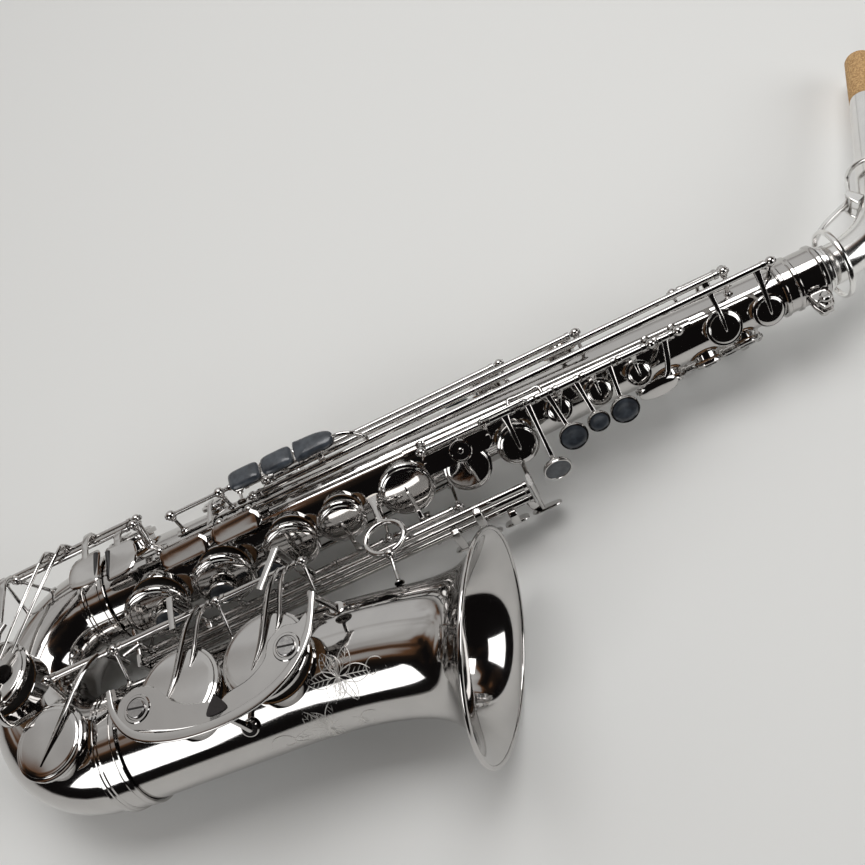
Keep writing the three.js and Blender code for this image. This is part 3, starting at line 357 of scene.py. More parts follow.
def on_bow(turn, angle, height):
    centre = bow_station(turn)[0]
    outside = vec(-sin(radians(turn)), cos(radians(turn)), 0)
    radius = bow_radius(turn) + height
    return centre + outside * (radius * cos(radians(angle))) + Z * (radius * sin(radians(angle)))


def bell_outer(distance):
    cone = BOW_END + (BELL_THROAT - BOW_END) * distance / BELL_LENGTH
    return cone + (RIM - BELL_THROAT) * exp(-(BELL_LENGTH - distance) / FLARE)


def bell_station(distance):
    start = bow_station(180 - BELL_LEAN)[0]
    bent = max(0, distance - BELL_BEND_START)
    curve = (BELL_LENGTH - BELL_BEND_START) / radians(BELL_BEND)
    first = radians(BELL_LEAN)
    last = first + bent / curve
    straight = distance - bent
    centre = start + vec(straight * cos(first) + curve * (sin(last) - sin(first)),
                         -straight * sin(first) + curve * (cos(last) - cos(first)), 0)
    return centre, vec(cos(last), -sin(last), 0)


LOW_HOLES = {
    "low_c": (bow_station(85)[0], 21.5), "low_csharp": (bow_station(156)[0], 20.5),
    "low_b": (vec(-403, -95.5, 0), 23.6), "low_bb": (vec(-353, -98, 0), 24),
}


def horn(piece, stations, look, sides=72, ring=False):
    """Skin through (centre, tangent, radius) stations whose centres lie in the plane of the bow."""
    points = []
    for centre, tangent, radius in stations:
        side = tangent.cross(Z).normalized()
        for i in range(sides):
            a = 2 * pi * i / sides
            points.append(centre + side * (radius * cos(a)) + Z * (radius * sin(a)))
    piece.add(points, quads(len(stations), sides, ring), look)


def chimney(piece, base, direction, radius, height):
    """Tone hole with a rolled rim, and a near-black plug in its bore as painted shade. Its foot is sunk in
    the tube.
    """
    foot, inner = -6, radius - 1
    piece.turn([(radius, foot), (radius, height - 0.7), (radius + 0.25, height - 0.35), (radius, height),
                (radius - 0.8, height), (inner, height - 0.5), (inner, foot)],
               base, direction, NICKEL, 56, True)
    # The bore is a near-black plug up to 2 mm under the rim: painted shade of the inside of the hole.
    bore = radius - 0.9
    piece.turn([(0, foot), (bore, foot), (bore, height - 2), (0, height - 2)], base, direction, PAINTED_SHADE)


def post(piece, base, head, ball=2.8, screw=True):
    """Turned post with a flanged foot and a ball head that holds a pivot screw."""
    span = head - base
    length = span.length
    profile = [(0, 0), (2.9, 0), (2.9, 0.5), (2.1, 1), (1.35, 1.9), (1.1, 3), (1.0, max(3.2, length - 4.6)),
               (1.3, length - 3.5), (1.9, length - 3.2), (1.9, length - 2.7), (1.45, length - 2.35)]
    for k in range(3, 13):
        a = pi * k / 12
        profile.append((ball * sin(a) if k < 12 else 0, length - ball * cos(a)))
    piece.turn(profile, base, span, NICKEL, 28)
    if screw:
        for side in (-1, 1):
            spot = head + X * (side * (ball - 0.45))
            piece.turn([(0, 0), (1.5, 0), (1.5, 0.5), (1.2, 0.75), (0, 0.75)], spot, X * side, STEEL, 20)


def tube(piece, line, start, end):
    """Hinge tube with turned collars at its ends."""
    length = end - start
    mouth, collar, waist = 2.1, 2.35, 1.95
    piece.turn([(0, 0), (mouth, 0), (collar, 0.25), (collar, 2.2), (waist, 2.6), (waist, length - 2.6),
                (collar, length - 2.2), (collar, length - 0.25), (mouth, length), (0, length)],
               vec(start, *line), X, NICKEL, 28)


def cup_height(radius):
    return SMALL_CUP_HEIGHT if radius < 11 else CUP_HEIGHT


def cup(piece, base, facing, r):
    """Key cup of a radius r: a stepped rim, a raised ring and a low dome, over a leather pad."""
    h = cup_height(r)
    inner = r - 2.6
    profile = [(0, 0.4), (r - 0.9, 0.4), (r - 0.5, 0), (r - 0.1, 0.1), (r, 0.4), (r, h * 0.46),
               (r - 0.35, h * 0.56), (r - 1.5, h * 0.60), (r - 1.9, h * 0.66), (r - 2.1, h * 0.80),
               (inner, h * 0.86)]
    for k in range(1, 9):
        f = 1 - k / 8
        profile.append((inner * f, h * (0.86 + 0.14 * (1 - f * f))))
    piece.turn(profile, base, facing, NICKEL, 64 if r > 11 else 44)
    pad = r - 0.95
    piece.turn([(0, -0.1), (r - 1.5, -0.1), (pad, 0.25), (pad, 0.8), (0, 0.8)], base, facing, PAD, 48)


def cup_arm(piece, line, x, base, facing, radius, width):
    """Arm from the hinge over the near edge of a cup, tapering to a point past its middle."""
    hinge = vec(x, *line)
    top = base + facing * (cup_height(radius) - 0.3)
    lean = hinge - top
    lean -= facing * lean.dot(facing)
    lean.normalize()
    edge = top + lean * (radius * 0.80)
    tip = top - lean * (radius * 0.22)
    path = [hinge, hinge * 0.45 + edge * 0.55 + facing * 0.5, edge + facing * 0.3, top + facing * 0.25, tip]
    piece.sweep(path, [width + 2, width, width - 0.6, width - 1.2, 0.5], [2.6, 2.2, 1.8, 1.5, 0.6], facing)


def pearl(piece, x, angle, distance, radius=8.3, tall=3.4):
    """Dark slate pearl in a polished turned holder."""
    base, facing = around(x, angle, distance), outward(angle)
    r, t = radius, tall
    piece.turn([(0, 0), (r * 0.75, 0), (r - 0.4, 0.7), (r, 1.5), (r, t - 0.5), (r - 0.25, t), (r - 0.9, t),
                (r - 1.1, t - 0.5), (0, t - 0.5)], base, facing, NICKEL, 56)
    piece.turn([(0, t - 1.2), (r - 1.15, t - 1.2), (r - 1.15, t - 0.35), (r - 1.8, t - 0.1),
                (r * 0.5, t - 0.35), (0, t - 0.5)], base, facing, SLATE, 56)


def body_key(name, hole_name, line_name, tubes, arm_x=None):
    """Cup, arm and hinge tubes of a key over a hole in the body."""
    piece = Piece(name)
    hole, line = HOLES[hole_name], LINES[line_name]
    facing = outward(hole[1])
    base = around(hole[0], hole[1], seat(hole) + GAP)
    cup(piece, base, facing, hole[2])
    if arm_x is None:
        arm_x = hole[0]
    cup_arm(piece, line, arm_x, base, facing, hole[2], 3.4 if hole[2] > 11 else 2.8)
    for start, end in tubes:
        tube(piece, line, start, end)
    return piece


def pillow(piece, centre, facing, length, width, thick, power, crown):
    """Crowned touch, shaped for a fingertip."""
    outline = oval(length, width, power)
    piece.plate(outline, centre - facing * 0.1, facing, thick - crown * 0.6, NICKEL, 0.9, crown)


# ---- Tubes ----


def on_bell(distance, angle):
    """Point just proud of the bell's skin, and the way out from there."""
    centre, tangent = bell_station(distance)
    side = tangent.cross(Z).normalized()
    out = side * cos(radians(angle)) + Z * sin(radians(angle))
    return centre + out * (bell_outer(distance) + 0.06), out


def engrave(piece):
    """Plain leaf scrolls engraved on the bell: fine bright lines that lie on its skin."""

    def line(spots, width=0.45):
        path = [on_bell(d, a)[0] for d, a in spots]
        facing = on_bell(*spots[len(spots) // 2])[1]
        piece.sweep(path, [0.2] + [width] * (len(path) - 2) + [0.2], 0.12, facing, ENGRAVED, 6, 2.0)

    def leaf(d, a, heading, length, curl):
        """One leaf with its two edges, a vein and short side cuts."""
        spread = 57.3 / bell_outer(d)

        def at(t, off):
            h = radians(heading + curl * t)
            forward, sideways = length * t * cos(h) - off * sin(h), length * t * sin(h) + off * cos(h)
            return d + forward, a + sideways * spread

        for side in (-1, 1):
            line([at(t, side * 0.24 * length * sin(pi * t) ** 0.8) for t in (0.02, 0.2, 0.4, 0.6, 0.8, 0.98)])
            for t in (0.3, 0.45, 0.6, 0.75):
                line([at(t, 0), at(t + 0.06, side * 0.08 * length), at(t + 0.12, side * 0.15 * length)], 0.3)
        line([at(t, 0) for t in (0, 0.25, 0.5, 0.75, 0.9)], 0.38)

    for middle, angle, size in ((128, 12, 1.0), (146, 62, 0.8)):
        for heading, length, curl in ((0, 24, 0), (38, 20, 26), (-38, 20, -26), (78, 16, 30), (-78, 16, -30),
                                      (180, 22, 0), (142, 19, -26), (218, 19, 26), (110, 13, -20),
                                      (-110, 13, 20)):
            leaf(middle, angle, heading, length * size, curl)
        for k in (-1, 1):
            turns = [(middle + k * size * (26 + 9 * (1 - t) * cos(7 * t)),
                      angle + size * 16 * (1 - t) * sin(7 * t))
                     for t in (0, 0.12, 0.24, 0.36, 0.48, 0.6, 0.72, 0.84)]
            line(turns, 0.5)


def make_tubes():
    body = Piece("body_tube")
    horn(body, [(vec(x, 0, 0), X, body_radius(x)) for x in (-464.6, -300, -150, -26, 0)], NICKEL)
    for hole in HOLES.values():
        chimney(body, on_body(hole[0], hole[1], 0), outward(hole[1]), hole[2] - 2.4, CHIMNEY)
    for x, line, angle in ((-184.7, "side_bb", 131), (-138.6, "side_c", 122), (-52.6, "high_e", 99),
                           (-29.6, "fsharp", 94), (-77.3, "body_octave", 153), (-46.7, "body_octave", 153),
                           (-417.6, "low_c", 120), (-417.6, "low_eb", 113)):
        post(body, on_body(x, angle, -0.7), vec(x, *LINES[line]))
    body.finish()

    bow = Piece("bow")
    turns = [0.6] + list(range(8, 177, 8)) + [177]
    stations = [(*bow_station(t), bow_radius(t)) for t in turns]
    stations.append((*bell_station(BOW_TAIL), BOW_END))
    horn(bow, stations, NICKEL)
    for name in ("low_c", "low_csharp"):
        centre, radius = LOW_HOLES[name]
        chimney(bow, centre + Z * (LOW_SEAT - 6), Z, radius - 2.6, 6)
    post(bow, on_bow(20, 55, -0.7), vec(-497.2, *LINES["low_eb"]))
    post(bow, on_bow(38, 52, -0.7), vec(-509.7, *LINES["low_c"]))
    post(bow, on_bow(124, 140, -0.7), vec(-486.4, *LINES["bell"]))
    bow.finish()

    bell = Piece("bell")
    marks = [BOW_TAIL + GAP, 30, 60, 90, 112, 130, 150, 165, 178, 188, 196, 202, 207, 211, 214.5, 217.5, 220,
             221.8, BELL_LENGTH]
    outer = [(*bell_station(d), bell_outer(d)) for d in marks]
    inner = [(*bell_station(d), bell_outer(d) - 1.3 * hypot(1, (RIM - BELL_THROAT) / FLARE
              * exp(-(BELL_LENGTH - d) / FLARE))) for d in reversed(marks)]
    horn(bell, outer + inner, NICKEL, 96, True)
    centre, tangent = bell_station(BELL_LENGTH)
    side = tangent.cross(Z).normalized()
    turns = [2 * pi * i / 48 for i in range(48)]
    bead = 1.3
    rim = [centre + (side * cos(a) + Z * sin(a)) * (RIM + 0.1 - bead) for a in turns]
    bell.wire(rim, bead, NICKEL, True, tangent, 3)
    engrave(bell)
    for name in ("low_b", "low_bb"):
        centre, radius = LOW_HOLES[name]
        chimney(bell, centre + Z * (LOW_SEAT - 6), Z, radius - 2.6, 6)
    bell.finish()


def joint_ring(name, centre, tangent, radius, half):
    """Joint ring with raised double bands at both ends."""
    piece = Piece(name)
    r = radius + GAP
    profile = [(r, -half)]
    for h, out in ((-half, 1.2), (-half + 0.4, 1.6), (-half + 2.2, 1.6), (-half + 2.7, 0.9),
                   (-half + 3.1, 0.9), (-half + 3.5, 1.4), (-half + 4.3, 1.4), (-half + 4.8, 0.7)):
        profile.append((r + out, h))
    profile += [(a, -b) for a, b in reversed(profile[1:])]
    profile.append((r, half))
    piece.turn(profile, centre, tangent, NICKEL, 72, True)
    piece.finish()


def rib(name, angle, start, end, line, places):
    """Rib soldered along the body, with a post to a hinge line at each place."""
    piece = Piece(name)
    low, high = (on_body(x, angle, GAP + 0.7) for x in (start, end))
    piece.sweep([low, low * 0.97 + high * 0.03, low * 0.03 + high * 0.97, high], [3.4, 5, 5, 3.4],
                [1.0, 1.2, 1.2, 1.0], outward(angle))
    for x in places:
        post(piece, on_body(x, angle, GAP + 1.2), vec(x, *LINES[line]))
    piece.finish()


def make_ribs():
    joint_ring("body_bow_ring", vec(-458, 0, 0), X, BODY_END, 8)
    joint_ring("bow_bell_ring", *bell_station(BOW_TAIL), BOW_END + 0.3, 8)
    rib("lower_stack_rib", -20, -447, -237, "lower", [-443.6, -355, -284.5, -240])
    rib("upper_stack_rib", 75, -248, -87, "upper", [-244.6, -105.6, -89.6])
    rib("high_fsharp_rib", 88, -411, -344, "fsharp", [-407.4, -368, -349])
    rib("palm_key_rib", -77, -119, -37, "palm", [-115.3, -40.6])
    rib("octave_rib", -150, -179, -29, "octave", [-175.3, -32.6])

    side = Piece("side_key_rib")
    side.sweep([on_body(-398, 108, 1.5), on_body(-364, 111, 1.5),
                on_body(-330, 114, 1.5)], 6, 1.8, outward(111))
    rod = (12, 40)
    for x, line, angle in ((-345.4, LINES["high_e"], 112), (-355.3, LINES["side_bb"], 113),
                           (-336.3, LINES["side_c"], 115), (-393.5, rod, 108), (-361.5, rod, 111)):
        post(side, on_body(x, angle, GAP + 1.7), vec(x, *line), 3.1 if line == rod else 2.8)
    side.bar(vec(-394, *rod), vec(-354.5, *rod), 1.35)
    side.turn([(0, 0), (1.6, 0.4), (2.1, 1.6), (1.6, 2.8), (0, 3.2)], vec(-356, *rod), X, NICKEL, 24)
    side.finish()

    for name, x, angle, top, bottom, joint in (("table_rod_carrier", -197, -46, 6.5, -25, (-45.5, -16)),
                                               ("low_rod_carrier", -445.4, 14, 6.5, -16.5, (-47, 3))):
        piece = Piece(name)
        skin = body_radius(x) + GAP
        start = around(x, angle, skin + 1.7)
        piece.sweep([start, (start + vec(x, *joint)) / 2, vec(x, *joint)], [4.5, 3.6, 4.5], 3, X)
        piece.sweep([vec(x, -47.5, top), vec(x, -47.5, (top + bottom) / 2), vec(x, -47.5, bottom)], 8,
                    2.4, X)
        piece.sweep([around(x - 4, angle, skin + 0.8), around(x + 4, angle, skin + 0.8)], 8, 1.2,
                    outward(angle))
        piece.finish()

    bell_rib = Piece("bell_key_rib")

    def base(x):
        distance = bell_outer(x + BODY_LENGTH) + GAP + 0.8
        return vec(x, bell_station(x + BODY_LENGTH)[0].y + 0.76 * distance, 0.65 * distance)

    bell_rib.sweep([base(-445), base(-404), base(-364), base(-322)], [4, 5, 5, 4], 1.4, vec(0, 0.76, 0.65))
    for x in (-443.2, -378.4, -325.6):
        post(bell_rib, base(x), vec(x, *LINES["bell"]))
    bell_rib.finish()


# ---- Keys of the two stacks ----


def make_stacks():
    for name, span, spot in (("d", (-440.3, -400.5), (-415, 31)), ("e", (-399.7, -358.3), (-380, 31)),
                             ("f", (-351.7, -318.5), (-350, 28)), ("fsharp", (-317.7, -287.8), None)):
        piece = body_key(name + "_key", name, "lower", [span])
        if spot:
            hole = HOLES[name]
            distance = seat(hole) + GAP + CUP_HEIGHT + 1.8
            pearl(piece, *spot, distance, 8.3, 3.6)
            top = around(hole[0], hole[1], seat(hole) + CUP_HEIGHT - 0.6)
            piece.sweep([top, around(*spot, distance + 0.4)], 3.4, 2, outward(hole[1]))
        piece.finish(piece.name, opened=True)

    upper = LINES["upper"]
    keys = (("g", [(-241.2, -206.4), (-184.4, -175.6)], -225, -180, (-180, -6, 37.5),
             (-2.6, 4.9, -208.5, -180)),
            ("a", [(-205.2, -187.6), (-174.4, -164.6)], -194, -168, (-164.5, 14, 33.5),
             (4.9, 2.6, -190, -170)),
            ("bis", [(-163.4, -148.6)], -160, -151, (-148.5, 16, 32.5, 6.4), None),
            ("b", [(-147.4, -127)], -141, -131, (-133, 15, 32), None),
            ("c", [(-126, -109)], -117, None, None, None))
    for name, tubes, cup_x, arm_x, spot, bypass in keys:
        piece = body_key(name + "_key", name, "upper", tubes, cup_x)
        if spot:
            pearl(piece, *spot)
            under = around(spot[0], spot[1], spot[2] + 0.4)
            start = vec(arm_x, *upper)
            middle = (start + under) / 2 + outward(spot[1] + 20) * 0.8
            piece.sweep([start, middle, under], [3.6, 2.6, 3.4], [2.4, 2, 1.8], outward(spot[1]))
        if bypass:
            y, z = upper[0] + bypass[0], upper[1] + bypass[1]
            first, last = bypass[2:]
            piece.wire([vec(first, *upper), vec(first + 1, y, z), vec(first + 6, y, z), vec(last - 6, y, z),
                        vec(last - 1, y, z), vec(last, *upper)], 1.15, face=outward(60))
        piece.finish(piece.name, opened=True)

    front = Piece("front_f_key")
    tube(front, upper, -102.2, -93)
    pillow(front, around(-111, 16, 30.6), outward(16), 23, 12.6, 2.8, 2.1, 1.2)
    bend = [vec(-98, *upper), around(-103, 30, 31.5), around(-110, 17, 31)]
    front.sweep(bend, [3.6, 3, 3], [2, 2, 1.6], outward(25))
    front.finish(front.name)

    gsharp = body_key("gsharp_key", "gsharp", "lower", [(-281.3, -243.2)])
    gsharp.sweep([vec(-259, *LINES["lower"]), vec(-259, -32.5, -5)], [2.4, 2], 4, X)
    gsharp.finish(gsharp.name)


def trill_touch(piece, x):
    """Flat bar touch of the high F# or the F# trill, on its short arm."""
    tilt = outward(72)
    outline = [(-15.4, -3), (-12.6, -6), (12.6, -6), (15.4, -3), (15.4, 3), (12, 6), (-12, 6), (-15.4, 3)]
    piece.plate(outline, vec(x, -13, 36.6), tilt, 2, NICKEL, 0.6, 0.3)
    arm = x - 1.5
    piece.sweep([vec(arm, *LINES["fsharp"]), vec(arm, -7, 35.6), vec(arm, -12, 37.4)], [5, 4.4, 5],
                [2, 2, 1.6], tilt)


def make_side_keys():
    soft = oval(19.4, 12.6, 4.6)
    wing = smooth_outline([(-11.5, -6), (-9, -6.8), (0, -6.6), (9, -6.2), (12.6, -2), (11, 2.6), (4, 5.4),
                           (-8, 6.2), (-11.5, 5.4)])
    for name, span, x, outline in (("side_bb", (-352, -188), -343, soft),
                                   ("side_c", (-333, -142), -322, soft), ("high_e", (-342, -56), -299, wing)):
        piece = body_key(name + "_key", name, name, [span])
        piece.plate(outline, vec(x, 12, 41.2), Z, 1, NICKEL, 0.4)
        piece.plate(outline, vec(x, 12, 42), Z, 3, SLATE, 1.0, 1.3)
        y, z = LINES[name]
        if name == "side_bb":
            bend = [vec(x, y, z), vec(x, 20.6, 32), vec(x, 19, 39.4), vec(x, 13, 42.2)]
        else:
            bend = [vec(x, y, z), vec(x, (y + 12) / 2 - 1.5, (z + 41) / 2), vec(x, 11.5, 42)]
        piece.sweep(bend, 4.2, 2.4, Y)
        if outline is wing:
            piece.wire([vec(-292, 11, 43), vec(-283, 10, 43.6), vec(-276, 8.4, 41.4), vec(-271.5, 7, 36),
                        vec(-270, 6, 31)], 1.3, face=Y)
        piece.finish(piece.name)

    body_key("high_fsharp_key", "high_f", "fsharp", [(-345.8, -32.8)]).finish("high_fsharp_key")
    touch = Piece("high_fsharp_touch")
    tube(touch, LINES["fsharp"], -364.8, -352.2)
    trill_touch(touch, -357)
    touch.finish(touch.name)
    trill = body_key("fsharp_trill_key", "trill", "fsharp", [(-404, -371.2)])
    trill_touch(trill, -390.5)
    trill.finish(trill.name)

    palm = LINES["palm"]
    for name, span, (x, y, z) in (("palm_d", (-112, -89.5), (-106, 8, -36.5)),
                                  ("palm_eb", (-88.5, -65), (-80, 6, -38)),
                                  ("palm_f", (-64, -44), (-54, 5, -38))):
        piece = body_key(name + "_key", name, "palm", [span])
        facing = vec(0, 0.25, -0.97)
        piece.plate(smooth_outline([(-10, -3), (-6, -6), (3, -5.6), (10.4, -2), (9.6, 3), (3, 6), (-7, 5.4)]),
                    vec(x, y, z) - facing * 0.2, facing, 2, NICKEL, 0.8, 0.6)
        piece.sweep([vec(x, *palm), vec(x, (palm[0] + y) / 2, z + 3.4), vec(x, y, z - 0.6)], [5, 4.4, 5],
                    [2.4, 2, 1.8], facing)
        piece.finish(name + "_key")


# ---- Low keys, the little finger table and the octave mechanism ----


def make_low_keys():
    bell = LINES["bell"]
    over = LOW_SEAT + CUP_HEIGHT + GAP
    tilted = vec(-0.6, 0, 0.8)
    for name, span in (("low_b", (-440, -381.6)), ("low_bb", (-375.2, -328.8)),
                       ("low_csharp", (-482.2, -446.4))):
        piece = Piece(name + "_key")
        centre, radius = LOW_HOLES[name]
        opened = name != "low_csharp"
        cup(piece, centre + Z * (LOW_SEAT + GAP), Z, radius)
        tube(piece, bell, *span)
        x = centre.x
        if opened:
            piece.sweep([vec(x + 12, *bell), vec(x + 8, -64, over - 0.3), vec(x, centre.y + 6, over + 0.3),
                         vec(x - 7, centre.y - 7, over)], [8, 5.6, 4.4, 0.6], [2.8, 2.2, 1.8, 0.8], tilted)
            piece.sweep([vec(x + 18, *bell), vec(x + 16, -62, over - 0.5), vec(x + 12, centre.y + 16, over),
                         vec(x + 9, centre.y + 8, over)], [6, 4, 3.4, 0.6], [2.4, 2, 1.6, 0.8], tilted)
        else:
            piece.sweep([vec(x + 29, *bell), vec(x + 23, -60, over - 0.5),
                         vec(x + 9, centre.y + 7, over + 0.3), vec(x - 5, centre.y - 12, over)],
                        [8, 6, 5, 0.6], [2.8, 2.2, 1.8, 0.8], tilted)
            piece.sweep([vec(-449, *bell), vec(-449, bell[0], 13)], 4, 2, Y)
        piece.finish(name + "_key", opened=opened)

    up = vec(0, 0.1, 1).normalized()
    half = [(-7.6, -10.4), (-3, -11.8), (5, -11.2), (10, -8.4), (12, 0), (10, 8.4), (5, 11.2), (-3, 11.8),
            (-7.6, 10.4), (-7.9, 0)]
    low_c = Piece("low_c_key")
    centre, radius = LOW_HOLES["low_c"]
    cup(low_c, centre + Z * (LOW_SEAT + GAP), Z, radius)
    tube(low_c, LINES["low_c"], -506.3, -421)
    low_c.sweep([vec(-504, *LINES["low_c"]), vec(-504, 18, over + 1.2), vec(-504.5, 6, over + 2.2),
                 vec(-507, -18, over + 0.6), vec(-510, -44, over + 0.2)], [6, 5, 5, 4.4, 0.6],
                [2.6, 2.4, 2.2, 1.8, 0.8], Z)
    for start, end in ((-474, -505), (-463, -497)):
        low_c.sweep([vec(start, *LINES["low_c"]), vec(start - 1, 23, 42), vec(start - 2.4, 17, 45.6),
                     vec((start + end) / 2, -8, 45.2), vec(end, -34, over + 0.6)], [5.4, 4.4, 4.4, 4, 0.8],
                    [2.6, 2.2, 2.2, 2, 1], vec(-0.6, 0.2, 0.8))
    low_c.plate(smooth_outline([(-p, q) for p, q in half]), vec(-444.5, -6, 45.4), up, 1.8, NICKEL, 0.7, 0.5)
    low_c.sweep([vec(-446, *LINES["low_c"]), vec(-446, 22.6, 42.4), vec(-446, 15, 45.4), vec(-446, 6, 45.8),
                 vec(-446, -2, 46)], [5.4, 4.4, 4, 4, 4], [2.4, 2.2, 2, 1.8, 1.4], vec(0, -0.5, 0.85))
    low_c.bar(vec(-438.6, -15.4, 46.6), vec(-438.6, 3.4, 45.8), 1.7, ROLLER, 28, 0.6)
    low_c.finish("low_c_key", opened=True)
    eb = body_key("low_eb_key", "low_eb", "low_eb", [(-493.8, -421)])
    eb.plate(smooth_outline(half), vec(-427.5, -4, 43.8), up, 1.8, NICKEL, 0.7, 0.5)
    eb.sweep([vec(-427, *LINES["low_eb"]), vec(-427, 11, 43.6), vec(-427, 0, 44.2)], [5, 4.4, 4],
             [2.2, 2, 1.4], Z)
    eb.bar(vec(-433.4, -13, 45), vec(-433.4, 5, 44.6), 1.7, ROLLER, 28, 0.6)
    eb.finish("low_eb_key")


def make_table():
    face = vec(0, -0.8, -0.6)
    behind = -42.2
    for name, line, (x, y, z), (length, width), lever_x, ending in (
            ("csharp_touch", LINES["csharp_touch"], (-214, -47.5, -30), (16, 17), -440,
             [vec(-440, behind, 13), vec(-449, -46.2, 15.5)]),
            ("low_b_touch", LINES["b_touch"], (-231, -48.5, -30), (15, 17), -400,
             [vec(-400, behind, 45), vec(-400, -62, 46.6)]),
            ("low_bb_touch", LINES["bb_touch"], (-247.5, -49, -30), (14, 17), -335,
             [vec(-335, behind, 45), vec(-348, -62, 46.6)])):
        piece = Piece(name)
        tube(piece, line, -443.8, -199.4)
        piece.plate(oval(length - 0.6, width, 4), vec(x, y, z), face, 1.6, NICKEL, 0.7, 0.5)
        piece.sweep([vec(x, *line), vec(x, -51.6, line[1]), vec(x, -53.2, line[1] - 2), vec(x, -53.4, z + 7)],
                    [3, 2.4, 2.2, 2.2], 5, X)
        piece.sweep([vec(lever_x, *line), vec(lever_x, behind - 0.4, line[1] + 1),
                     vec(lever_x, behind, line[1] + 4), ending[0]], [2.4, 2.2, 2, 2], 4, X)
        piece.sweep([ending[0], ending[1]], [4, 3.4], 2, Y if lever_x == -440 else Z)
        piece.finish(name)
    line = LINES["gsharp_touch"]
    piece = Piece("gsharp_touch")
    tube(piece, line, -262, -199.4)
    piece.plate(oval(19, 14, 3), vec(-195, -44.5, -36), face, 1.6, NICKEL, 0.7, 0.5)
    piece.sweep([vec(-203, *line), vec(-201, -46, -28), vec(-199, -45, -34)], 5, 2, -Y)
    piece.sweep([vec(-259, *line), vec(-259, -33, -8.8)], [2.4, 2], 4, X)
    piece.finish("gsharp_touch")


PIN_DISTANCE, PIN_ANGLE = 16.4, 192


def make_octave():
    line = LINES["octave"]
    lever = Piece("octave_lever")
    tube(lever, line, -172, -36)
    touch = around(-158, -132, 35)
    pillow(lever, touch, outward(-132), 24, 15, 2.6, 2.2, 0.8)
    lever.sweep([vec(-158, *line), (vec(-158, *line) + touch) / 2, touch], [6, 5, 6], [2.2, 2.2, 2],
                outward(-150))
    high = around(-38.5, PIN_ANGLE, 19.4)
    lever.sweep([vec(-38.5, *line), (vec(-38.5, *line) + high) / 2, high], [4, 3.4, 4], 2.4, outward(-160))
    lever.wire([high, around(-20, PIN_ANGLE, 19.4), around(2, PIN_ANGLE, 19.4), around(4, PIN_ANGLE, 18.4),
                around(4.4, PIN_ANGLE, PIN_DISTANCE + 0.4), around(7, PIN_ANGLE, PIN_DISTANCE),
                around(12, PIN_ANGLE, PIN_DISTANCE)], 1.15, face=outward(PIN_ANGLE + 90))
    lever.finish("octave_lever")
    body_key("body_octave_key", "octave", "body_octave", [(-74, -50)]).finish("body_octave_key")


# ---- Neck and socket ----

BEND_LENGTH = NECK_BEND * radians(NECK_TURN)
NECK_LENGTH = NECK_STRAIGHT + BEND_LENGTH + NECK_TAIL


def neck_station(distance):
    bend = min(max(distance - NECK_STRAIGHT, 0) / NECK_BEND, radians(NECK_TURN))
    tail = max(0, distance - NECK_STRAIGHT - BEND_LENGTH)
    centre = vec(TENON_TOP + min(distance, NECK_STRAIGHT) + NECK_BEND * sin(bend) + tail * cos(bend),
                 NECK_BEND * (1 - cos(bend)) + tail * sin(bend), 0)
    return centre, vec(cos(bend), sin(bend), 0)


def neck_radius(distance):
    return NECK_FOOT + (NECK_TIP - NECK_FOOT) * distance / NECK_LENGTH


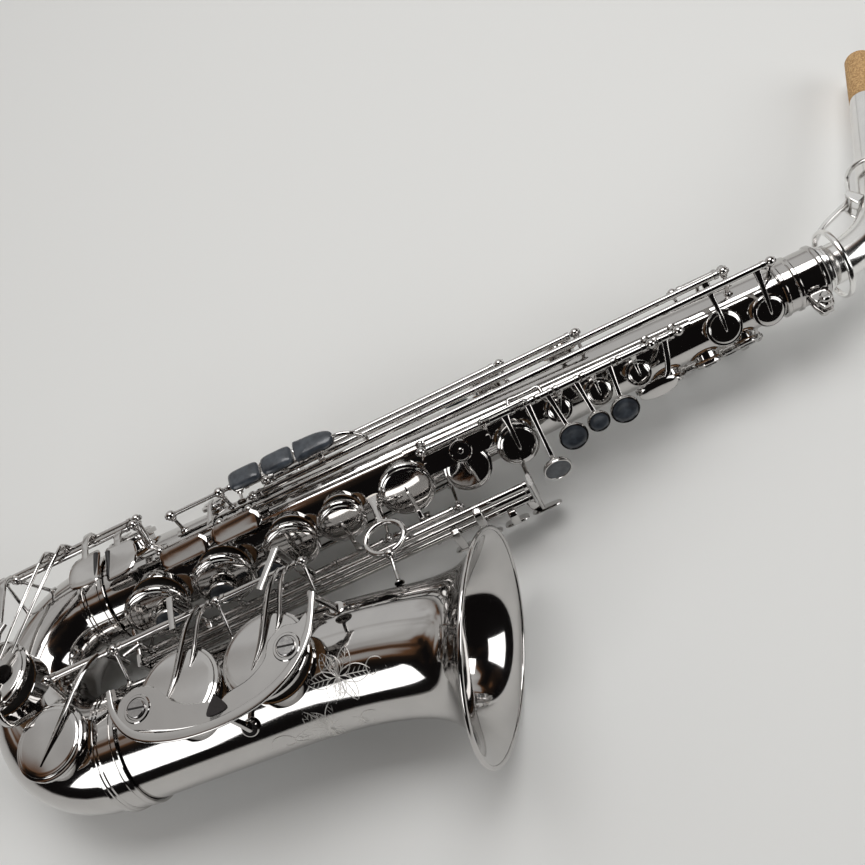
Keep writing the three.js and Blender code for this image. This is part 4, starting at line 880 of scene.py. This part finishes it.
def make_neck():
    tube_piece = Piece("neck_tube")
    marks = [0, 2, 4] + [NECK_STRAIGHT + BEND_LENGTH * k / 14 for k in range(1, 15)] + [90, 120, NECK_LENGTH]
    outer = [(*neck_station(d), neck_radius(d)) for d in marks]
    inner = [(*neck_station(d), neck_radius(d) - 0.9) for d in reversed(marks)]
    horn(tube_piece, outer + inner, SILVER, 64, True)
    for z in (-6.6, 6.6):
        tube_piece.sweep([vec(42, 27.5, z), vec(40, 32, z), vec(38.4, 36.4, z)], [7, 6, 3.4], 1.8, Z, SILVER)
    centre, tangent = neck_station(NECK_STRAIGHT + BEND_LENGTH + 20)
    side = tangent.cross(Z).normalized()
    tube_piece.turn([(0, 0), (3.4, 0), (3.4, 1), (2.4, 1.4), (2.4, 2.6), (0, 2.6)], centre + side * 8.4, side,
                    SILVER, 28)
    tube_piece.finish("neck", "silver_plate")

    cork = Piece("neck_cork")
    start = neck_station(NECK_LENGTH - CORK_LENGTH)[0]
    low = neck_radius(NECK_LENGTH - CORK_LENGTH) + 0.1
    cork.turn([(low, 0), (CORK_RADIUS - 0.3, 0), (CORK_RADIUS, 0.5), (CORK_RADIUS, 12), (CORK_RADIUS, 24),
               (CORK_RADIUS - 0.1, CORK_LENGTH - 2), (CORK_RADIUS - 0.7, CORK_LENGTH - 0.5),
               (NECK_TIP + 0.1, CORK_LENGTH - 0.4)], start, neck_station(NECK_LENGTH)[1], CORK, 64, True)
    cork.finish("neck", "cork")

    tenon = Piece("neck_tenon")
    tenon.turn([(10.9, -24), (12.1, -24), (12.1, 0.4), (13.6, 0.4), (14.4, 0.8), (14.4, 2), (13.9, 2.4),
                (13.1, 2.5), (12.9, 2.9), (13.2, 3.3), (13.2, 4), (12.7, 4.6), (10.9, 4.6)], vec(0, 0, 0), X,
               SILVER, 64, True)
    tenon.finish("neck", "silver_plate")

    key_piece = Piece("neck_octave_key")
    pivot = vec(39, 34.5, 0)
    ring = [around(9.5, k * 15, 19.6) for k in range(24)]
    key_piece.sweep(ring, 2.4, 3.4, X, SILVER, 16, 2.4, True, 3)
    key_piece.sweep([around(9.5, 180, 19.6), vec(20, 27, 0), pivot], [4.6, 3.8, 4.4], [2.6, 3, 3], Y, SILVER)
    key_piece.bar(pivot - Z * 5.4, pivot + Z * 5.4, 2.1, SILVER, 28)
    loop = [centre - side * (14.5 * cos(pi * k / 8)) + Z * (14.5 * sin(pi * k / 8)) for k in range(9)]
    key_piece.sweep([pivot, (pivot + loop[0]) / 2, loop[0]], [4, 3.4, 3.2], 2.6, side, SILVER)
    key_piece.wire(loop, 1.5, SILVER, face=tangent)
    key_piece.turn([(0, 0.4), (3.8, 0.4), (4.2, 0), (4.5, 0.5), (4.5, 1.6), (3.6, 2.4), (2, 3.4), (0, 3.8)],
                   centre + side * 11.4, side, SILVER, 36)
    key_piece.turn([(0, -0.3), (3.4, -0.3), (3.8, 0.6), (0, 0.6)], centre + side * 11.4, side, PAD, 28)
    key_piece.finish("neck_octave_key", "silver_plate")


def make_receiver():
    clamp = Piece("neck_clamp")
    r = body_radius(-26) + GAP
    profile = [(r, -26), (r + 1.3, -26), (r + 1.7, -25.6), (r + 1.7, -24), (r + 1.2, -23.6), (r + 0.8, -23.2),
               (r + 0.8, -18.4), (r + 1.2, -18), (r + 1.7, -17.6), (r + 1.7, -16), (r + 1.3, -15.6),
               (r + 0.8, -15.2), (r + 0.8, -3.4), (r + 1.3, -3), (r + 1.6, -2.6), (r + 1.6, -0.9),
               (r + 1.2, -0.4), (r, -0.4)]
    clamp.turn(profile, vec(0, 0, 0), X, NICKEL, 72, True)
    for z in (-3, 3):
        clamp.sweep([vec(-8, -14.4, z), vec(-8, -20, z), vec(-8, -25.6, z)], [11, 10.4, 6.5], 2.6, Z)
    clamp.finish()
    screw = Piece("clamp_screw")
    screw.bar(vec(-8, -21.5, -8.4), vec(-8, -21.5, 6), 1.6, STEEL)
    screw.turn([(0, 0), (2.4, 0), (3.2, 0.6), (3.4, 1.6), (3, 2.8), (2.2, 3.6), (0, 3.8)],
               vec(-8, -21.5, 4.9), Z, NICKEL, 36)
    screw.plate(smooth_outline([(-2, -0.5), (-3.4, 2), (-4.8, 5), (-4, 8), (-1.6, 8.2), (0, 6.6), (1.6, 8.2),
                                (4, 8), (4.8, 5), (3.4, 2), (2, -0.5)]), vec(-8, -22.5, 8), Y, 2, NICKEL, 0.6)
    screw.turn([(0, 0), (2.6, 0), (2.8, 0.8), (2.2, 2), (0, 2.4)], vec(-8, -21.5, -6.9), -Z, NICKEL, 28)
    screw.finish("clamp_screw")


# ---- Guards, brace and the pieces at the back ----


def bumper(piece, x, y, height, radius=7):
    """Slotted adjusting screw with its felt, in a round plate. The slot is a near-black strip on the screw
    head, as painted shade.
    """
    piece.turn([(0, -1.2), (radius - 1, -1.2), (radius - 0.6, 0), (0, 0)], vec(x, y, height), Z, FELT, 40)
    piece.turn([(0, 0), (radius, 0), (radius, 1.6), (radius - 0.5, 2.1), (radius - 1.6, 2.1),
                (radius - 1.9, 1.6), (0, 1.6)], vec(x, y, height), Z, NICKEL, 56)
    head = radius - 2.6
    piece.turn([(0, 1.4), (head, 1.4), (head, 2.7), (head - 0.4, 3.1), (0, 3.1)], vec(x, y, height), Z,
               STEEL, 48)
    # Slot drawn as a thin near-black strip lying on the head: painted shade, not a cut.
    piece.sweep([vec(x - head * 0.92, y + 1, height + 3.02), vec(x + head * 0.92, y - 1, height + 3.02)], 1.1,
                0.3, Z, PAINTED_SHADE)


def make_guards():
    guard = Piece("bell_key_guard")
    height = 54
    rim = [(-436, -84), (-434.5, -98), (-425, -112), (-405, -121), (-380, -124.4), (-356, -122), (-338, -114),
           (-325, -100), (-317.5, -81)]
    guard.sweep([vec(x, y, height + 0.9) for x, y in rim], [3, 4, 4.6, 5, 5, 5, 4.6, 4, 3], 2, Z)
    for lobe in ([(-433, -101), (-430, -92), (-421, -88.6), (-411, -92), (-404, -101), (-395, -108),
                  (-384, -112), (-374, -117), (-380, -123), (-400, -119.5), (-420, -112), (-430, -107)],
                 [(-384, -122), (-374, -113), (-360, -110), (-350, -104), (-346, -96), (-337, -91.6),
                  (-329, -93), (-323, -90), (-324, -99), (-328, -108), (-336, -114), (-352, -120),
                  (-368, -123)]):
        guard_plate(guard, smooth_outline(lobe), height, 1.6)
    bumper(guard, -421, -100, height + 0.2, 7.4)
    bumper(guard, -337, -103, height + 0.2, 7.4)
    guard.plate(smooth_outline([(-5.5, -3.4), (5.5, -3.4), (0.8, 5), (-0.8, 5)]),
                vec(-379, -116, height + 1.6), Z, 0.9, FELT, 0.4)
    for start, end in ((vec(-436, -80.5, 31.2), vec(-433.5, -87, height + 0.8)),
                       (vec(-378, -120.8, 24.9), vec(-380, -119, height + 0.8)),
                       (vec(-314, -84, 33.4), vec(-319.5, -82, height + 0.8))):
        guard.sweep([start, start * 0.6 + end * 0.4, start * 0.2 + end * 0.8, end], [5, 3.6, 3.8, 6],
                    [2.6, 2.2, 2.2, 2.2], X)
        guard.turn([(0, 0), (4.6, 0), (4.6, 0.9), (3.9, 1.4), (0, 1.4)], start - Z * 0.6,
                   start - vec(start.x, -96, 0), NICKEL, 36)
    guard.finish()

    low = Piece("low_c_guard")
    arch = [on_bow(78, 28, 2.6), vec(-540, -34, 40), vec(-530, -38, 54), vec(-512, -46, 57),
            vec(-505, -64, 54), vec(-505, -70.5, 42), on_bow(118, 106, 2.6)]
    low.sweep(arch, 4.4, 2.6, vec(0.4, 1, 0.2))
    low.sweep([vec(-512, -46, 57), vec(-505, -30, 57), vec(-495, -18, 56)], [3.8, 3.6, 3.2], [3, 3, 2.6], Z)
    bumper(low, -508, -38, 54.6, 6.6)
    low.finish()


def guard_plate(piece, outline, height, thickness):
    """Flat curved plate with softened edges, filled from its outline."""
    loop = [vec(x, y, height) for x, y in anticlockwise(outline)]
    count = len(loop)
    levels = ((0.5, 0), (0, 0.4), (0, thickness - 0.4), (0.5, thickness))
    points = []
    for inset, z in levels:
        for i in range(count):
            edge = (loop[(i + 1) % count] - loop[i - 1]).normalized()
            points.append(loop[i] + vec(-edge.y, edge.x, 0) * inset + Z * z)
    piece.add(points, quads(len(levels), count), NICKEL)


def make_back():
    brace = Piece("bell_brace")
    x, z = -283, 13
    centre = vec(x, -46, z)
    face = -sqrt(body_radius(x) ** 2 - z * z) - GAP
    ring = [centre + vec(11.5 * cos(2 * pi * k / 16), 9.5 * sin(2 * pi * k / 16), 0) for k in range(16)]
    brace.sweep(ring, 3.6, 3.4, Z, NICKEL, 20, 2.0, True)
    brace.sweep([vec(x, face - 0.4, z), vec(x, (face + centre.y + 9.5) / 2, z), vec(x, centre.y + 9.5, z)],
                [8, 4, 5], 3, Z, NICKEL, 20, 2.2)
    post(brace, vec(x, -75.6, z), vec(x, centre.y - 10.5, z), 3.4, False)
    brace.finish()

    hook = Piece("thumb_hook")
    angle = 166
    foot = [on_body(q, angle, GAP + 1) for q in (-345, -330, -316)]
    hook.sweep(foot, [11, 12, 11], 1.8, outward(angle))
    r = body_radius(-330) + GAP
    bend = [around(-322, angle, r + 1), around(-320, angle, r + 12), around(-327, angle, r + 18),
            around(-340, angle, r + 18), around(-347, angle, r + 14)]
    hook.sweep(bend, [9, 8, 8, 8, 6], [4, 3.4, 3, 2.8, 2.2], outward(angle + 90).cross(X), NICKEL, 20, 3)
    hook.finish()

    rest = Piece("thumb_rest")
    rest.turn([(0, 0), (8, 0), (8.4, 0.8), (7.8, 3), (6.6, 4.2), (3, 4.9), (0, 5)],
              on_body(-218, 178, GAP), outward(178), SLATE, 48)
    rest.finish()

    strap = Piece("strap_ring")
    strap.sweep([on_body(q, 180, GAP + 1) for q in (-262, -248, -234)], [6, 9, 6], 1.8,
                outward(180))
    middle = on_body(-248, 180, 10.2)
    strap.turn([(4.6, -1), (5.2, -1.6), (8, -1.6), (8.6, -1), (8.6, 1), (8, 1.6), (5.2, 1.6), (4.6, 1)],
               middle, Z, NICKEL, 48, True)
    strap.finish()

    bar = Piece("medallion_bar")
    angle, outside = 48, 35.5
    bar.plate([(-20, -5.6), (17, -5.6), (20, -3.5), (20, 4.6), (17, 5.6), (-18, 5.6), (-20, 3)],
              around(-226, angle, outside - 0.9), outward(angle), 1.8, NICKEL, 0.5)
    bar.turn([(0, 0), (6.4, 0), (6.4, 1.1), (6, 1.5), (5.4, 1.5), (5.1, 1.1), (1.6, 1.3), (1.2, 1.6),
              (0, 1.7)], around(-224, angle, outside + 0.5), outward(angle), NICKEL, 56)
    for q in (-245, -207):
        bar.sweep([on_body(q, 58, GAP + 0.2), around(q, 53, outside - 5), around(q, angle, outside)],
                  [4.6, 3, 4.6], [3, 2.6, 2.4], X)
    bar.finish()


make_tubes()
make_ribs()
make_stacks()
make_side_keys()
make_low_keys()
make_table()
make_octave()
make_neck()
make_receiver()
make_guards()
make_back()

# ---- Floor, light and camera ----

FLOOR_DROP = 0.0005  # metres under zero, which leaves the rim bead clear


def make_floor():
    mesh = bpy.data.meshes.new("floor")
    half = 6
    corners = [(-half, -half, 0), (half, -half, 0), (half, half, 0), (-half, half, 0)]
    mesh.from_pydata(corners, [], [(0, 1, 2, 3)])
    floor = bpy.data.objects.new("floor", mesh)
    bpy.context.scene.collection.objects.link(floor)
    floor.location.z = -FLOOR_DROP
    paint = bpy.data.materials.new("pale_floor")
    paint.use_nodes = True
    shader = paint.node_tree.nodes["Principled BSDF"]
    shader.inputs["Base Color"].default_value = (0.80, 0.802, 0.785, 1)
    shader.inputs["Roughness"].default_value = 0.9
    floor.data.materials.append(paint)


def lamp(name, spot, target, size, power, colour=(1, 1, 1)):
    data = bpy.data.lights.new(name, "AREA")
    data.shape = "RECTANGLE"
    data.size, data.size_y = size
    data.energy = power
    data.color = colour
    light = bpy.data.objects.new(name, data)
    light.location = spot
    light.rotation_euler = (Vector(target) - Vector(spot)).to_track_quat("-Z", "Y").to_euler()
    bpy.context.scene.collection.objects.link(light)


def make_light():
    """Soft lamps in a dim room with pale and brown patches for the metal to mirror."""
    world = bpy.data.worlds.new("studio")
    world.use_nodes = True
    nodes, links = world.node_tree.nodes, world.node_tree.links
    where = nodes.new("ShaderNodeTexCoord")
    patches = nodes.new("ShaderNodeTexNoise")
    patches.inputs["Scale"].default_value = 1.7
    patches.inputs["Detail"].default_value = 2
    patches.inputs["Distortion"].default_value = 0.8
    links.new(where.outputs["Generated"], patches.inputs["Vector"])
    room = nodes.new("ShaderNodeValToRGB")
    stops = room.color_ramp.elements
    stops[0].position, stops[0].color = 0.28, (0.008, 0.007, 0.007, 1)
    stops[1].position, stops[1].color = 0.80, (0.82, 0.82, 0.81, 1)
    stops.new(0.43).color = (0.026, 0.017, 0.012, 1)
    stops.new(0.51).color = (0.18, 0.088, 0.044, 1)
    stops.new(0.58).color = (0.52, 0.505, 0.49, 1)
    towards_window = nodes.new("ShaderNodeVectorMath")
    towards_window.operation = "DOT_PRODUCT"
    towards_window.inputs[1].default_value = (-0.05, 0.62, 0.34)
    links.new(where.outputs["Generated"], towards_window.inputs[0])
    mixed = nodes.new("ShaderNodeMath")
    mixed.operation = "ADD"
    links.new(towards_window.outputs["Value"], mixed.inputs[0])
    links.new(patches.outputs["Fac"], mixed.inputs[1])
    levelled = nodes.new("ShaderNodeMath")
    levelled.operation = "SUBTRACT"
    levelled.inputs[1].default_value = 0.42
    links.new(mixed.outputs["Value"], levelled.inputs[0])
    links.new(levelled.outputs["Value"], room.inputs["Fac"])
    links.new(room.outputs["Color"], nodes["Background"].inputs["Color"])
    nodes["Background"].inputs["Strength"].default_value = 0.85
    bpy.context.scene.world = world
    lamp("key_panel", (0.15, 0.6, 1.45), (0, 0, 0), (1.2, 0.7), 13)
    lamp("fill_panel", (-1.1, -0.9, 0.9), (0, 0, 0), (0.8, 0.8), 5.6)
    lamp("side_panel", (1.2, -0.5, 0.8), (0, 0, 0), (0.7, 0.9), 6.4)


# In the instrument's frame.
CAMERA_SPOT = (-183.5, -298.6, 450.8)
CAMERA_LOOK = Vector((-0.0991, 0.5664, -0.8182))
CAMERA_UP = Vector((0.4267, 0.7669, 0.4793))
FOCAL_LENGTH = 38.19


def make_camera():
    data = bpy.data.cameras.new("camera")
    data.sensor_width = 36
    data.lens = FOCAL_LENGTH
    data.clip_start = 0.01
    camera = bpy.data.objects.new("camera", data)
    turn = place.to_3x3().normalized()
    back = -(turn @ CAMERA_LOOK).normalized()
    up = turn @ CAMERA_UP
    right = up.cross(back).normalized()
    camera.matrix_world = Matrix((right, back.cross(right), back)).transposed().to_4x4()
    camera.location = place @ Vector(CAMERA_SPOT)
    bpy.context.scene.collection.objects.link(camera)
    bpy.context.scene.camera = camera


make_floor()
make_light()
make_camera()
bpy.context.scene.view_settings.view_transform = "Standard"
